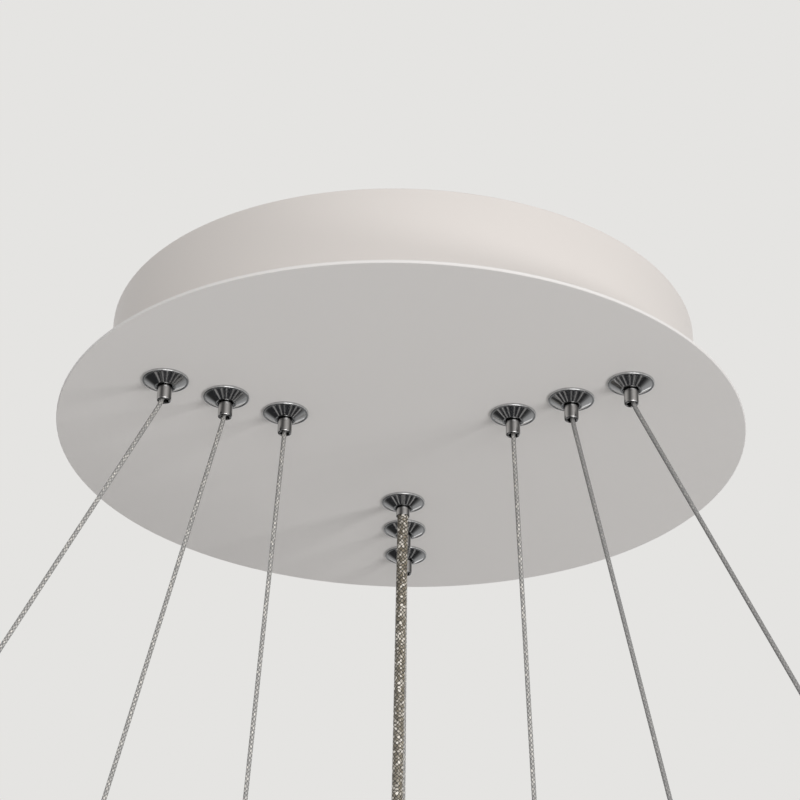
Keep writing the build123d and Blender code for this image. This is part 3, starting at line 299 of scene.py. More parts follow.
def route_points(name, controls, spacing):
    """Points of a smooth line: a NURBS spline with the route's points as its control points."""
    curve = bpy.data.curves.new(name, "CURVE")
    curve.dimensions = "3D"
    spline = curve.splines.new("NURBS")
    spline.points.add(len(controls) - 1)
    for point, control in zip(spline.points, controls):
        point.co = (*control, 1.0)
    spline.order_u = 3
    spline.use_endpoint_u = True
    length = sum((Vector(b) - Vector(a)).length for a, b in zip(controls, controls[1:]))
    spline.resolution_u = max(12, round(length / spacing / max(1, len(controls) - 2)))
    holder = link_new(name, curve)
    mesh = bpy.data.meshes.new_from_object(holder)
    points = np.array([v.co[:] for v in mesh.vertices])
    bpy.data.objects.remove(holder)
    bpy.data.curves.remove(curve)
    bpy.data.meshes.remove(mesh)
    return points


def evenly(points, spacing):
    """The same line with points at even steps along it, by linear interpolation of its length."""
    run = np.r_[0, np.cumsum(np.linalg.norm(np.diff(points, axis=0), axis=1))]
    count = max(2, round(run[-1] / spacing) + 1)
    along = np.linspace(0, run[-1], count)
    return along, np.stack([np.interp(along, run, points[:, k]) for k in range(3)], axis=-1)


def upright_frames(path):
    """Two unit vectors across a path at each point: one level, one square to it and the path."""
    aside = np.array([1.0, 0.3, 0.0])  # along none of the wires
    tangent = np.gradient(path, axis=0)
    tangent /= np.linalg.norm(tangent, axis=1, keepdims=True)
    level = np.cross(tangent, aside)
    level /= np.linalg.norm(level, axis=1, keepdims=True)
    return level, np.cross(tangent, level)


def carried(name, path, along, section_radius, section_angle):
    """Closed tube: at each point of a path, a section of radius r at angle a across the path.

    A point is the path's point plus r cos a along the level vector and r sin a along the other.
    The radius has one row for each path point. Both ends are closed to their centre.
    """
    level, across = upright_frames(path)
    ring = (
        path[:, None]
        + (section_radius * np.cos(section_angle))[..., None] * level[:, None]
        + (section_radius * np.sin(section_angle))[..., None] * across[:, None]
    )
    columns = ring.shape[1]
    first = np.broadcast_to(path[0], (1, columns, 3))
    last = np.broadcast_to(path[-1], (1, columns, 3))
    points = np.concatenate([first, ring, last])
    rows = len(points)
    faces, uv = grid(rows, columns, False, True)
    metres = np.r_[0.0, along, along[-1]]
    uv[:, 1] = np.interp(uv[:, 1] * (rows - 1), np.arange(rows), metres)
    return new_piece(name, points, faces, uv)


# ---- materials


def feed(tree, value, socket):
    """Links a socket to another, or sets a number or a colour on it."""
    if isinstance(value, bpy.types.NodeSocket):
        tree.links.new(value, socket)
    else:
        socket.default_value = value


def node_group(name, inputs, outputs):
    """Empty shader group with named sockets, and its input and output nodes.

    An input's kind follows from its default: a number, a colour, or None for a vector.
    """
    kinds = {float: "NodeSocketFloat", tuple: "NodeSocketColor", type(None): "NodeSocketVector"}
    group = bpy.data.node_groups.new(name, "ShaderNodeTree")
    for socket, value in inputs.items():
        made = group.interface.new_socket(socket, in_out="INPUT", socket_type=kinds[type(value)])
        if value is not None:
            made.default_value = value
    for socket in outputs:
        kind = kinds[tuple if socket == "Colour" else float]
        group.interface.new_socket(socket, in_out="OUTPUT", socket_type=kind)
    source, result = group.nodes.new("NodeGroupInput"), group.nodes.new("NodeGroupOutput")
    return group, source.outputs, result.inputs


def maths(tree, operation, first, second=None, clamp=False):
    """Math node of one or two numbers or sockets."""
    node = tree.nodes.new("ShaderNodeMath")
    node.operation = operation
    node.use_clamp = clamp
    for value, socket in zip((first, second), node.inputs):
        if value is not None:
            feed(tree, value, socket)
    return node.outputs[0]


def blended(tree, factor, first, second):
    """Colour mix of two colours or sockets by a third."""
    node = tree.nodes.new("ShaderNodeMix")
    node.data_type = "RGBA"
    # The sockets and the result for colours come after those for numbers and vectors.
    for value, index in ((factor, 0), (first, 6), (second, 7)):
        feed(tree, value, node.inputs[index])
    return node.outputs[2]


def noise(tree, vector, scale, detail):
    """Noise texture on a vector."""
    node = tree.nodes.new("ShaderNodeTexNoise")
    node.inputs["Detail"].default_value = detail
    tree.links.new(vector, node.inputs["Vector"])
    feed(tree, scale, node.inputs["Scale"])
    return node.outputs


def parts(tree, value, kind="XYZ"):
    """The three parts of a vector or of a colour."""
    node = tree.nodes.new("ShaderNodeSeparate" + kind)
    tree.links.new(value, node.inputs[0])
    return node.outputs


def combined(tree, *values):
    """Vector of two or three sockets."""
    node = tree.nodes.new("ShaderNodeCombineXYZ")
    for value, socket in zip(values, node.inputs):
        tree.links.new(value, socket)
    return node.outputs[0]


# Inputs of the groups whose colour and roughness lie between two values.
TWO_TONE = {
    "Colour": (0.8, 0.8, 0.8, 1), "Shade": (0.6, 0.6, 0.6, 1), "Rough low": 0.4, "Rough high": 0.5
}


def put_out(group, given, result, shade, share, height):
    """The group's colour by its way to the shade, roughness by a share of its range, and height."""
    spread = maths(group, "SUBTRACT", given["Rough high"], given["Rough low"])
    rough = maths(group, "ADD", maths(group, "MULTIPLY", share, spread), given["Rough low"])
    feed(group, blended(group, shade, given["Colour"], given["Shade"]), result["Colour"])
    feed(group, rough, result["Roughness"])
    feed(group, height, result["Height"])


def grain_group():
    """Soft mottling of colour and roughness with a fine relief, by two noises."""
    group, given, result = node_group(
        "Surface grain",
        {"Vector": None, "Mottle scale": 18.0, "Relief scale": 1400.0, **TWO_TONE},
        ("Colour", "Roughness", "Height"),
    )
    mottle = noise(group, given["Vector"], given["Mottle scale"], 4)["Fac"]
    relief = noise(group, given["Vector"], given["Relief scale"], 2)["Fac"]
    put_out(group, given, result, mottle, mottle, relief)
    return group


def turned_group():
    """Marks of a lathe or a brush on a UV map with u round the piece and v along it.

    The streaks are a noise on (cosine of u, sine of u, v), each scaled by itself. Broad bands of
    painted highlight and painted shade round the piece are a cosine of the band count times the
    turn past a start.
    """
    group, given, result = node_group(
        "Turning marks",
        {
            "UV": None, "Round": 8.0, "Along": 60.0, "Bands": 3.0, "Sheen start": 0.0,
            "Sheen share": 0.0, **TWO_TONE,
        },
        ("Colour", "Roughness", "Height"),
    )
    calc = partial(maths, group)
    uv = parts(group, given["UV"])
    turn = calc("MULTIPLY", uv["X"], TAU)
    place = [calc("MULTIPLY", calc(wave, turn), given["Round"]) for wave in ("COSINE", "SINE")]
    place.append(calc("MULTIPLY", uv["Y"], given["Along"]))
    streaks = noise(group, combined(group, *place), 1.0, 3)["Fac"]
    # Painted sheen: bands of painted highlight and painted shade that stay fixed round the piece.
    past = calc("SUBTRACT", turn, given["Sheen start"])
    wave = calc("COSINE", calc("MULTIPLY", past, given["Bands"]))
    band = calc("SUBTRACT", 0.5, calc("MULTIPLY", wave, 0.5))
    band = calc("MULTIPLY", band, given["Sheen share"])
    streak = calc("MULTIPLY", streaks, calc("SUBTRACT", 1.0, given["Sheen share"]))
    shade = calc("ADD", band, streak, clamp=True)
    put_out(group, given, result, shade, streaks, streaks)
    return group


def braid_group():
    """Plain braid on a UV map with v in metres: two families of helical bands, over and under.

    With a and b the bands' running counts, a band's height is the sine of half a turn a band, and
    the bands swap places where the whole parts of a and b are both even or both odd. A noise on
    the object's own coordinates makes the bands wander, and each crossing has a random shade and
    a random painted glint, a painted highlight, of its own. Cover falls off towards one side of the
    cord as painted shade.
    """
    drift_scale = 260.0
    wire_relief = 0.35  # height of the single wires, as a share of a band's
    gap_edge, gap_slope = 0.16, 2.4  # where a crossing starts to cover, and how fast
    glint_rarity = 3.0
    group, given, result = node_group(
        "Braid",
        {
            "UV": None, "Place": None, "Carriers": 8.0, "Bands per metre": 500.0, "Wires": 5.0,
            "Wander": 0.0, "Uneven": 0.0, "Lee": 0.0,
        },
        ("Height", "Cover", "Painted glint"),
    )
    calc = partial(maths, group)
    times = partial(calc, "MULTIPLY")

    def hump(count):
        """Size of the sine of half a turn a count."""
        return calc("ABSOLUTE", calc("SINE", times(count, math.pi)))

    def left_by(loss):
        """What a loss leaves of one."""
        return calc("SUBTRACT", 1.0, loss)

    uv = parts(group, given["UV"])
    drift = parts(group, noise(group, given["Place"], drift_scale, 1.0)["Color"], "Color")
    wander = given["Wander"]
    around, along = (
        calc("ADD", times(uv[k], given[count]), times(calc("SUBTRACT", drift[k], 0.5), wander))
        for k, count in enumerate(("Carriers", "Bands per metre"))
    )
    counts = [calc(operation, along, around) for operation in ("ADD", "SUBTRACT")]
    wholes = [calc("FLOOR", count) for count in counts]
    humps = [hump(count) for count in counts]
    over = calc("ABSOLUTE", calc("MODULO", calc("ADD", *wholes), 2.0))
    shares = (over, left_by(over))
    height = calc("ADD", *[times(wave, share) for wave, share in zip(humps, shares)])
    fine = [hump(times(count, given["Wires"])) for count in counts]
    wires = calc("ADD", *[times(wave, share) for wave, share in zip(fine, shares)])
    cover = times(calc("SUBTRACT", times(*humps), gap_edge), gap_slope, clamp=True)

    # Painted glints: a random few crossings get a painted highlight.
    chance = group.nodes.new("ShaderNodeTexWhiteNoise")
    chance.noise_dimensions = "3D"
    group.links.new(combined(group, *wholes), chance.inputs["Vector"])
    glint = calc("POWER", chance.outputs["Value"], glint_rarity)
    feed(group, times(glint, times(cover, wires)), result["Painted glint"])
    feed(group, calc("ADD", height, times(wires, wire_relief)), result["Height"])

    tone = parts(group, chance.outputs["Color"], "Color")[1]
    cover = times(cover, left_by(times(tone, given["Uneven"])))
    # Painted shade: the braid's cover darkens towards one side of the cord, a set turn round from
    # the side that faces the room.
    past = calc("SUBTRACT", times(uv["X"], TAU), PAINTED_SHADE_SIDE)
    lee = calc("ADD", times(calc("COSINE", past), 0.5), 0.5)
    feed(group, times(cover, left_by(times(lee, given["Lee"]))), result["Cover"])
    return group


def shared(name):
    """A node group of this file, made the first time it is asked for."""
    makers = {"Surface grain": grain_group, "Turning marks": turned_group, "Braid": braid_group}
    return bpy.data.node_groups.get(name) or makers[name]()


def blank(name, metallic=0.0, coat=0.0):
    """New node material: its tree and its Principled shader with plain values set."""
    material = bpy.data.materials.new(name)
    material.use_nodes = True
    shader = material.node_tree.nodes["Principled BSDF"]
    plain = {"Metallic": metallic, "Coat Weight": coat, "Coat Roughness": 0.04, "IOR": 1.5}
    for socket, value in plain.items():
        shader.inputs[socket].default_value = value
    return material, material.node_tree, shader


def pattern(tree, name, values):
    """Node of a shared group with its values set."""
    node = tree.nodes.new("ShaderNodeGroup")
    node.node_tree = shared(name)
    for socket, value in values.items():
        feed(tree, value, node.inputs[socket])
    return node.outputs


def own_place(tree):
    """The object's own coordinates."""
    return tree.nodes.new("ShaderNodeTexCoord").outputs["Object"]


def own_uv(tree):
    """The piece's own UV map."""
    uv = tree.nodes.new("ShaderNodeUVMap")
    uv.uv_map = "UVMap"
    return uv.outputs["UV"]


def add_relief(tree, shader, height, depth, strength):
    """Bump node from a height socket to the shader's normal."""
    bump = tree.nodes.new("ShaderNodeBump")
    bump.inputs["Distance"].default_value = depth
    bump.inputs["Strength"].default_value = strength
    tree.links.new(height, bump.inputs["Height"])
    tree.links.new(bump.outputs["Normal"], shader.inputs["Normal"])


def shade_of(colour, share):
    """A colour scaled to a share of itself, with full alpha."""
    return (*[channel * share for channel in colour], 1.0)


def two_tone(colour, share, rough):
    """Values of a pattern that lies between a colour and its shade, and from low to high rough."""
    tones = {"Colour": shade_of(colour, 1.0), "Shade": shade_of(colour, share)}
    return {**tones, "Rough low": rough[0], "Rough high": rough[1]}


def put_on(tree, shader, look, depth, strength):
    """A pattern's colour, roughness and height to the shader."""
    tree.links.new(look["Colour"], shader.inputs["Base Color"])
    tree.links.new(look["Roughness"], shader.inputs["Roughness"])
    add_relief(tree, shader, look["Height"], depth, strength)


def grained(name, colour, rough, share=0.94, mottle=18.0, relief=1400.0, depth=0.02 * MM, **plain):
    """Material with mottled colour, roughness from low to high, and fine relief."""
    material, tree, shader = blank(name, **plain)
    values = {"Vector": own_place(tree), "Mottle scale": mottle, "Relief scale": relief}
    look = pattern(tree, "Surface grain", {**values, **two_tone(colour, share, rough)})
    put_on(tree, shader, look, depth, strength=0.6)
    return material


def turned(name, colour, rough, share, marks, depth, strength, bands=(3.0, 0.0, 0.0)):
    """Metal with streaks of a lathe or brush, on the piece's UV map.

    Marks are the streaks' scales round and along it, and bands the count, start and share of bands
    of painted sheen.
    """
    material, tree, shader = blank(name, metallic=1.0)
    sockets = ("Round", "Along", "Bands", "Sheen start", "Sheen share")
    values = {"UV": own_uv(tree), **dict(zip(sockets, (*marks, *bands)))}
    look = pattern(tree, "Turning marks", {**values, **two_tone(colour, share, rough)})
    put_on(tree, shader, look, depth, strength)
    return material


def braided(name, choice, bright, depth, glint_strength, coat, edge, wander, uneven, faded, lee=0.0):
    """Bright braid with dark gaps, painted glints and painted shade where it turns away from the
    eye.

    The pattern lies on a UV map with v in metres. Faded brings gaps and strands nearer each other.
    """
    bright_share = 0.62  # of the tone that a wholly faded braid has
    glint_colour = (1.0, 0.96, 0.88, 1.0)
    gap_rough, strand_rough = 0.6, 0.35
    strand_metal = 0.35
    material, tree, shader = blank(name, coat=coat)
    calc = partial(maths, tree)
    weave = pattern(
        tree,
        "Braid",
        {
            "UV": own_uv(tree), "Place": own_place(tree), "Carriers": float(choice.carriers),
            "Bands per metre": choice.carriers / choice.pitch, "Wires": 3.0, "Wander": wander,
            "Uneven": uneven, "Lee": lee,
        },
    )
    between = np.array(bright) * bright_share + np.array(choice.dark) * (1 - bright_share)
    pair = [
        (*(np.array(tone) * (1 - faded) + between * faded).tolist(), 1.0)
        for tone in (choice.dark, bright)
    ]
    colour = blended(tree, weave["Cover"], *pair)
    # Painted highlight: the glints mix the colour towards a near-white colour.
    glint_mix = calc("MULTIPLY", weave["Painted glint"], glint_strength, clamp=True)
    colour = blended(tree, glint_mix, colour, glint_colour)
    # Painted shade: the colour darkens towards the gaps' colour where the surface turns away from
    # the eye.
    turned_away = tree.nodes.new("ShaderNodeLayerWeight")
    turned_away.inputs["Blend"].default_value = 0.5
    rim = calc("MULTIPLY", calc("POWER", turned_away.outputs["Facing"], 2.0), edge)
    colour = blended(tree, rim, colour, shade_of(choice.dark, 1.0))
    tree.links.new(colour, shader.inputs["Base Color"])
    feed(tree, calc("MULTIPLY", weave["Cover"], strand_metal), shader.inputs["Metallic"])
    smoother = calc("MULTIPLY", weave["Cover"], gap_rough - strand_rough)
    feed(tree, calc("SUBTRACT", gap_rough, smoother), shader.inputs["Roughness"])
    add_relief(tree, shader, weave["Height"], depth, strength=0.9)
    return material


def dress(piece, material, node=None, body=None):
    """A piece's material, the CAD node that it replaces, and the body it rides on."""
    piece.data.materials.clear()
    piece.data.materials.append(material)
    if node:
        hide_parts(node)
    if body:
        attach(piece, body)
    return piece


def smooth_copy(node, material, body=None, bevel=0.0):
    """Merged copy of a node's mesh, smooth between its sharp edges, in the node's place."""
    same_place, flat = 1e-6, math.radians(0.5)
    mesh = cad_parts[node].data.copy()
    work = bmesh.new()
    work.from_mesh(mesh)
    bmesh.ops.remove_doubles(work, verts=work.verts, dist=same_place)
    bmesh.ops.dissolve_limit(work, angle_limit=flat, verts=work.verts, edges=work.edges)
    for face in work.faces:
        face.smooth = True
    for edge in work.edges:
        edge.smooth = not (edge.is_manifold and edge.calc_face_angle() > SHARP_TURN)
    work.to_mesh(mesh)
    work.free()
    piece = link_new(node + "_dressed", mesh)
    if bevel:
        soften = piece.modifiers.new("Edges", "BEVEL")
        soften.width = bevel
        soften.segments = 2
        soften.limit_method = "ANGLE"
        soften.angle_limit = SHARP_TURN
    return dress(piece, material, node, body)


# ---- operators


def area_light(name, place, size, power, colour):
    """Square soft light at a place, turned to the plate."""
    lamp = bpy.data.lights.new(name, "AREA")
    lamp.shape = "SQUARE"
    lamp.size = size
    lamp.energy = power
    lamp.color = colour
    light = link_new(name, lamp)
    light.location = place
    aim = Vector((0, 0, PLATE_UNDER)) - Vector(place)
    light.rotation_euler = aim.to_track_quat("-Z", "Y").to_euler()
    return light


def flat_sheet(name, centre, half_width):
    """Level square: its corners lie half a width from the centre both ways."""
    sign = np.array([(-1, -1, 0), (1, -1, 0), (1, 1, 0), (-1, 1, 0)], float)
    return new_piece(name, np.array(centre) + sign * half_width, np.array([[0, 1, 2, 3]]))


class RINGLIGHT_OT_stage(bpy.types.Operator):
    """Camera at the photograph's view, pale room, soft lights and a pale floor"""

    bl_idname = "ringlight.stage"
    bl_label = "Stage"

    sensor_width = 36.0
    floor_half_width = 4.0
    key_light = {"place": (2.2, -1.55, -2.15), "size": 0.9, "colour": (1.0, 0.99, 0.98)}
    fill_light = {"place": (0.7, -2.75, -0.35), "size": 2.2, "colour": (1.0, 0.985, 0.975)}
    # The room's light on surfaces, and how bright it is in reflections from its foot to its top.
    room_tint = (1.0, 0.985, 0.975, 1.0)
    room_tones = ((0.22, 0.03), (0.28, 0.12), (0.36, 0.36), (0.56, 0.5), (0.6, 1.6))
    room_foot = (0.03, 0.031, 0.034, 1)
    room_top = (0.9, 0.89, 0.88, 1)

    def execute(self, context):
        choice = settings("stage")
        self.stand_camera(context, choice)
        context.scene.view_settings.view_transform = "Standard"
        self.make_room(context, choice)
        key = area_light("key", power=choice.key_power, **self.key_light)
        key.visible_glossy = False
        area_light("fill", power=choice.fill_power, **self.fill_light)

        floor = flat_sheet("floor", (0, 0, -choice.floor_drop), self.floor_half_width)
        floor.data.materials.append(grained("floor pale", choice.backdrop, (0.8, 0.9), 0.98))
        floor.visible_glossy = False
        floor.visible_camera = False
        return {"FINISHED"}

    def stand_camera(self, context, choice):
        """Camera turned by heading, then pitch, then roll."""
        heading, pitch, roll = choice.heading, choice.pitch, choice.roll
        ahead = Vector((math.sin(heading), math.cos(heading), 0))
        side = Vector((math.cos(heading), -math.sin(heading), 0))
        view = ahead * math.cos(pitch) + Vector((0, 0, math.sin(pitch)))
        rise = Vector((0, 0, math.cos(pitch))) - ahead * math.sin(pitch)
        right = side * math.cos(roll) + rise * math.sin(roll)
        upward = rise * math.cos(roll) - side * math.sin(roll)
        lens = bpy.data.cameras.new("view")
        lens.sensor_width = self.sensor_width
        lens.lens = choice.lens
        lens.clip_start = 0.01
        camera = link_new("view", lens)
        turn = Matrix((right, upward, -view)).transposed()
        camera.matrix_world = Matrix.Translation(choice.camera_place) @ turn.to_4x4()
        context.scene.camera = camera

    def make_room(self, context, choice):
        """World with one pale colour for the camera, light for the surfaces, and for reflections a
        room that is dark below and grows paler upwards, by the height of the ray's direction."""
        world = bpy.data.worlds.new("pale room")
        context.scene.world = world
        world.use_nodes = True
        tree = world.node_tree
        tree.nodes.clear()
        calc = partial(maths, tree)
        rays = tree.nodes.new("ShaderNodeLightPath").outputs
        glossy = rays["Is Glossy Ray"]
        ray = parts(tree, tree.nodes.new("ShaderNodeTexCoord").outputs["Generated"])
        # Height: half of z and a half, raised to the right, and to the front and the back.
        right = calc("ADD", calc("MULTIPLY", ray["X"], 0.12), 0.5)
        far = calc("MULTIPLY", calc("ABSOLUTE", ray["Y"]), 0.15)
        near = calc("MULTIPLY", ray["Y"], -0.08)
        raised = calc("ADD", calc("ADD", far, near), right)
        height = calc("ADD", calc("MULTIPLY", ray["Z"], 0.5), raised)
        ramp = tree.nodes.new("ShaderNodeValToRGB")
        tree.links.new(height, ramp.inputs[0])
        stops = ramp.color_ramp.elements
        stops[0].color, stops[1].color = self.room_foot, self.room_top
        for position, tone in self.room_tones:
            stops.new(position).color = (tone, tone, tone, 1)
        seen = calc("MAXIMUM", rays["Is Camera Ray"], rays["Is Transmission Ray"])
        rest = blended(tree, glossy, self.room_tint, ramp.outputs[0])
        light = tree.nodes.new("ShaderNodeBackground")
        pale = (*choice.backdrop, 1.0)
        tree.links.new(blended(tree, seen, rest, pale), light.inputs["Color"])
        dimmed = choice.room_light
        full = calc("MULTIPLY", calc("MAXIMUM", seen, glossy), calc("SUBTRACT", 1.0, dimmed))
        tree.links.new(calc("ADD", full, dimmed), light.inputs["Strength"])
        result = tree.nodes.new("ShaderNodeOutputWorld")
        tree.links.new(light.outputs[0], result.inputs[0])


def along_row(row, reach, height):
    """Point at a distance from the axis in a row's direction."""
    turn = math.radians(ROWS[row])
    return (reach * math.cos(turn), reach * math.sin(turn), height)


class RINGLIGHT_OT_wires(bpy.types.Operator):
    """Eight suspension wires from their grips to their rings: coated feed wires and plain ropes"""

    bl_idname = "ringlight.wires"
    bl_label = "Suspension wires"

    plain = (("right", "middle"), ("right", "outer"))
    knee_drop = 5.5 * MM
    straight_start = 14.0 * MM
    lobe_depth = 0.06  # half a lobe's depth, as a share of the radius
    points_per_lobe = 6
    steps_per_lay = 12

    def execute(self, context):
        choice = settings("wires")
        feed_wire = braided(
            "coated rope", choice, choice.bright, depth=0.05 * MM, glint_strength=1.1, coat=0.3, edge=1.0,
            wander=0.5, uneven=0.3, faded=0.5,
        )
        rope = braided(
            "plain rope", choice, choice.plain, depth=0.03 * MM, glint_strength=0.3, coat=0.2, edge=1.0,
            wander=0.8, uneven=0.3, faded=0.72,
        )
        for row, spot in GRIPS:
            self.wire(row, spot, choice, rope if (row, spot) in self.plain else feed_wire)
        return {"FINISHED"}

    def wire(self, row, spot, choice, steel):
        """Lobed section carried along the wire, turned once in each lay.

        At angle a and length s the radius is the mean radius plus a ripple times the cosine of
        (strands times (a less one turn a lay)), so each lobe winds round as a strand does.
        """
        ring = RING_OF_SPOT[spot]
        grip_reach = math.hypot(*GRIP_CENTRES[(row, spot)])
        start = Vector(along_row(row, grip_reach, WIRE_TOP))
        knee = Vector(along_row(row, grip_reach, WIRE_TOP - self.knee_drop))
        end = Vector(along_row(row, RING_RADII[ring] - RING_WIDTH / 2, BALL_LEVELS[ring]))
        straight = knee + (end - knee).normalized() * self.straight_start
        name = f"wire_{row}_{spot}"
        line = route_points(name + "_route", [start, knee, straight, end], 1.0 * MM)
        along, path = evenly(line, choice.lay / self.steps_per_lay)
        columns = choice.strands * self.points_per_lobe
        angle = np.arange(columns)[None, :] * TAU / columns
        twist = TAU * along[:, None] / choice.lay
        ripple = self.lobe_depth * choice.radius
        radius = choice.radius - ripple + ripple * np.cos(choice.strands * (angle - twist))
        piece = carried(name, path, along, radius, angle)
        dress(piece, steel, f"{ring}_ring_wires")
        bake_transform(piece)


class RINGLIGHT_OT_cord(bpy.types.Operator):
    """Braided supply cord from its gland to the small ring"""

    bl_idname = "ringlight.cord"
    bl_label = "Supply cord"

    # The route's points, in metres, from the gland to the small ring.
    route = [
        (0.0, 0.060, -0.0555), (0.0, 0.060, -0.0635), (0.0, 0.0618, -0.0955),
        (0.0, 0.0882, -0.5455), (0.0, 0.090, -0.5775), (0.0, 0.090, -0.6035),
    ]
    columns = 32

    def execute(self, context):
        choice = settings("cord")
        line = route_points("supply_cord_route", self.route, 2.0 * MM)
        along, path = evenly(line, 1.5 * MM)
        angle = np.arange(self.columns)[None, :] * TAU / self.columns
        radius = np.full((len(path), self.columns), choice.radius)
        piece = carried("supply_cord_braid", path, along, radius, angle)
        # Loose braid under a clear jacket: its bands wander and are uneven, with painted glints and
        # painted shade on one side.
        braid = braided(
            "cord braid", choice, choice.bright, depth=0.1 * MM, glint_strength=1.8, coat=0.3, edge=0.45,
            wander=1.3, uneven=0.4, faded=0.1, lee=0.5,
        )
        dress(piece, braid, "supply_cord")
        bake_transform(piece)
        return {"FINISHED"}


def cone_outline(choice, bore):
    """Grip from its mouth round the lip and up the barrel; the bore's points close it inside."""
    flange = choice.flange_radius / MM
    outside = [
        (4.1, -4.0, 0.12), (4.8, -4.0, 0.2), (flange - 1.05, -1.05, 0.1),
        (flange - 0.95, -1.2, 0.12), (flange, -1.2, 0.55), (flange, 0.0, 0.1),
        (5.0, 0.0, 0.05), (5.0, 18.0, 0.15),
    ]
    return rounded(outside + [(*point, 0.05) for point in bore], PLATE_UNDER)


class RINGLIGHT_OT_grips(bpy.types.Operator):
    """Chrome cones and satin nozzles of the eight wire grips, and the cord's gland"""

    bl_idname = "ringlight.grips"
    bl_label = "Wire grips"

    cone_turns = 96
    nozzle_turns = 64
    # Radius and height over the plate's underside, in millimetres.
    bore = ((4.2, 18.0), (4.2, 14.6), (4.0, 14.6), (4.0, 7.0), (3.3, 3.0), (3.3, -1.0), (4.1, -1.0))
    gland_bore = ((3.3, 18.0), (3.3, -1.0), (4.1, -1.0))
    ball_orbit = 2.4 * MM
    ball_height = 5.6 * MM
    ball_radius = 1.2 * MM
    ball_turns = (TAU / 12, 5 * TAU / 12, 9 * TAU / 12)

    def execute(self, context):
        choice = settings("grips")
        chrome = turned(
            "grip chrome", choice.chrome, rough=(0.11, 0.14), share=0.45, marks=(18.0, 2.0),
            depth=0.02 * MM, strength=0.05,
        )
        # The nickel's five bands are painted sheen: a painted highlight brightest at 291 degrees,
        # just right of the side that faces the camera, with painted shade between.
        nickel = turned(
            "nozzle nickel", choice.nickel, rough=(0.14, 0.24), share=0.1, marks=(12.0, 2.0),
            depth=0.02 * MM, strength=0.15, bands=(5.0, math.radians(291.0), 0.85),
        )
        for row, spot in GRIPS:
            place = f"{row}_{spot}"
            centre = GRIP_CENTRES[(row, spot)]
            cone = lathe(f"cone_{place}", cone_outline(choice, self.bore), centre, self.cone_turns)
            dress(cone, chrome, f"gripper_body_{place}", "canopy")
            nozzle = self.nozzle(f"nozzle_{place}", centre, choice)
            dress(nozzle, nickel, f"gripper_nozzle_{place}", f"nozzle_{place}")
        gland_outline = cone_outline(choice, self.gland_bore)
        gland = lathe("cord_gland_cone", gland_outline, CORD_CENTRE, self.cone_turns)
        dress(gland, chrome, "cord_gland_body", "canopy")
        dress(self.sleeve(choice), nickel, "cord_gland_sleeve", "canopy")
        return {"FINISHED"}

    def nozzle(self, name, centre, choice):
        """Release sleeve with a rounded mouth, its cage, and the cage's three balls."""
        outer = choice.nozzle_radius / MM
        rows = [
            (2.1, -11.0, 0.15), (outer - 0.1, -11.0, 0.45), (outer, -9.9, 0.6),
            (outer, 3.3, 0.1), (3.78, 6.8, 0.1), (3.78, 8.5, 0.1),
            (1.2, 8.5, 0.1), (1.2, 3.0, 0.1), (2.1, 2.1, 0.1),
        ]
        pieces = [lathe(name, rounded(rows, PLATE_UNDER, 6), centre, self.nozzle_turns)]
        for turn in self.ball_turns:
            place = (
                centre[0] + self.ball_orbit * math.cos(turn),
                centre[1] + self.ball_orbit * math.sin(turn),
                PLATE_UNDER + self.ball_height,
            )
            pieces.append(ball(f"{name}_ball", place, self.ball_radius, 12, 18))
        return joined(name, pieces)

    def sleeve(self, choice):
        """Short sleeve round the supply cord, with a softly broken mouth."""
        outer = choice.nozzle_radius / MM
        rows = [(2.75, -8.3, 0.1), (outer, -8.3, 0.25), (outer, 18.0, 0.1), (2.75, 18.0, 0.1)]
        return lathe("cord_sleeve", rounded(rows, PLATE_UNDER), CORD_CENTRE, self.nozzle_turns)


class RINGLIGHT_OT_canopy(bpy.types.Operator):
    """Painted drum and plate of the canopy"""

    bl_idname = "ringlight.canopy"
    bl_label = "Canopy"

    sheet = 1.2  # thickness in millimetres
    flange = 8.0
    turns = 256

    def execute(self, context):
        choice = settings("canopy")
        painted = partial(
            grained, rough=(0.5, 0.62), share=0.965, mottle=9.0, relief=1500.0, depth=choice.grain
        )
        plate_paint = painted("canopy paint", choice.paint)
        smooth_copy("canopy_plate", plate_paint, "canopy")
        # Painted shade: the drum gets a darker, warmer copy of the plate's paint.
        self.drum(painted("drum paint", choice.drum_paint))
        return {"FINISHED"}

    def drum(self, paint):
        """Rolled wall with a rounded rim and an inward flange at its foot."""
        low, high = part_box("canopy_drum")
        outer, top = high.x / MM, (high.z - low.z) / MM
        inner = outer - self.sheet
        rows = [
            (inner - self.flange, 0.0, 0.1), (outer, 0.0, 0.8),
            (outer, top, 0.35), (inner, top, 0.35),
            (inner, self.sheet, 0.5), (inner - self.flange, self.sheet, 0.1),
        ]
        piece = lathe("drum_wall", rounded(rows, low.z), (0.0, 0.0), self.turns)
        dress(piece, paint, "canopy_drum", "canopy")


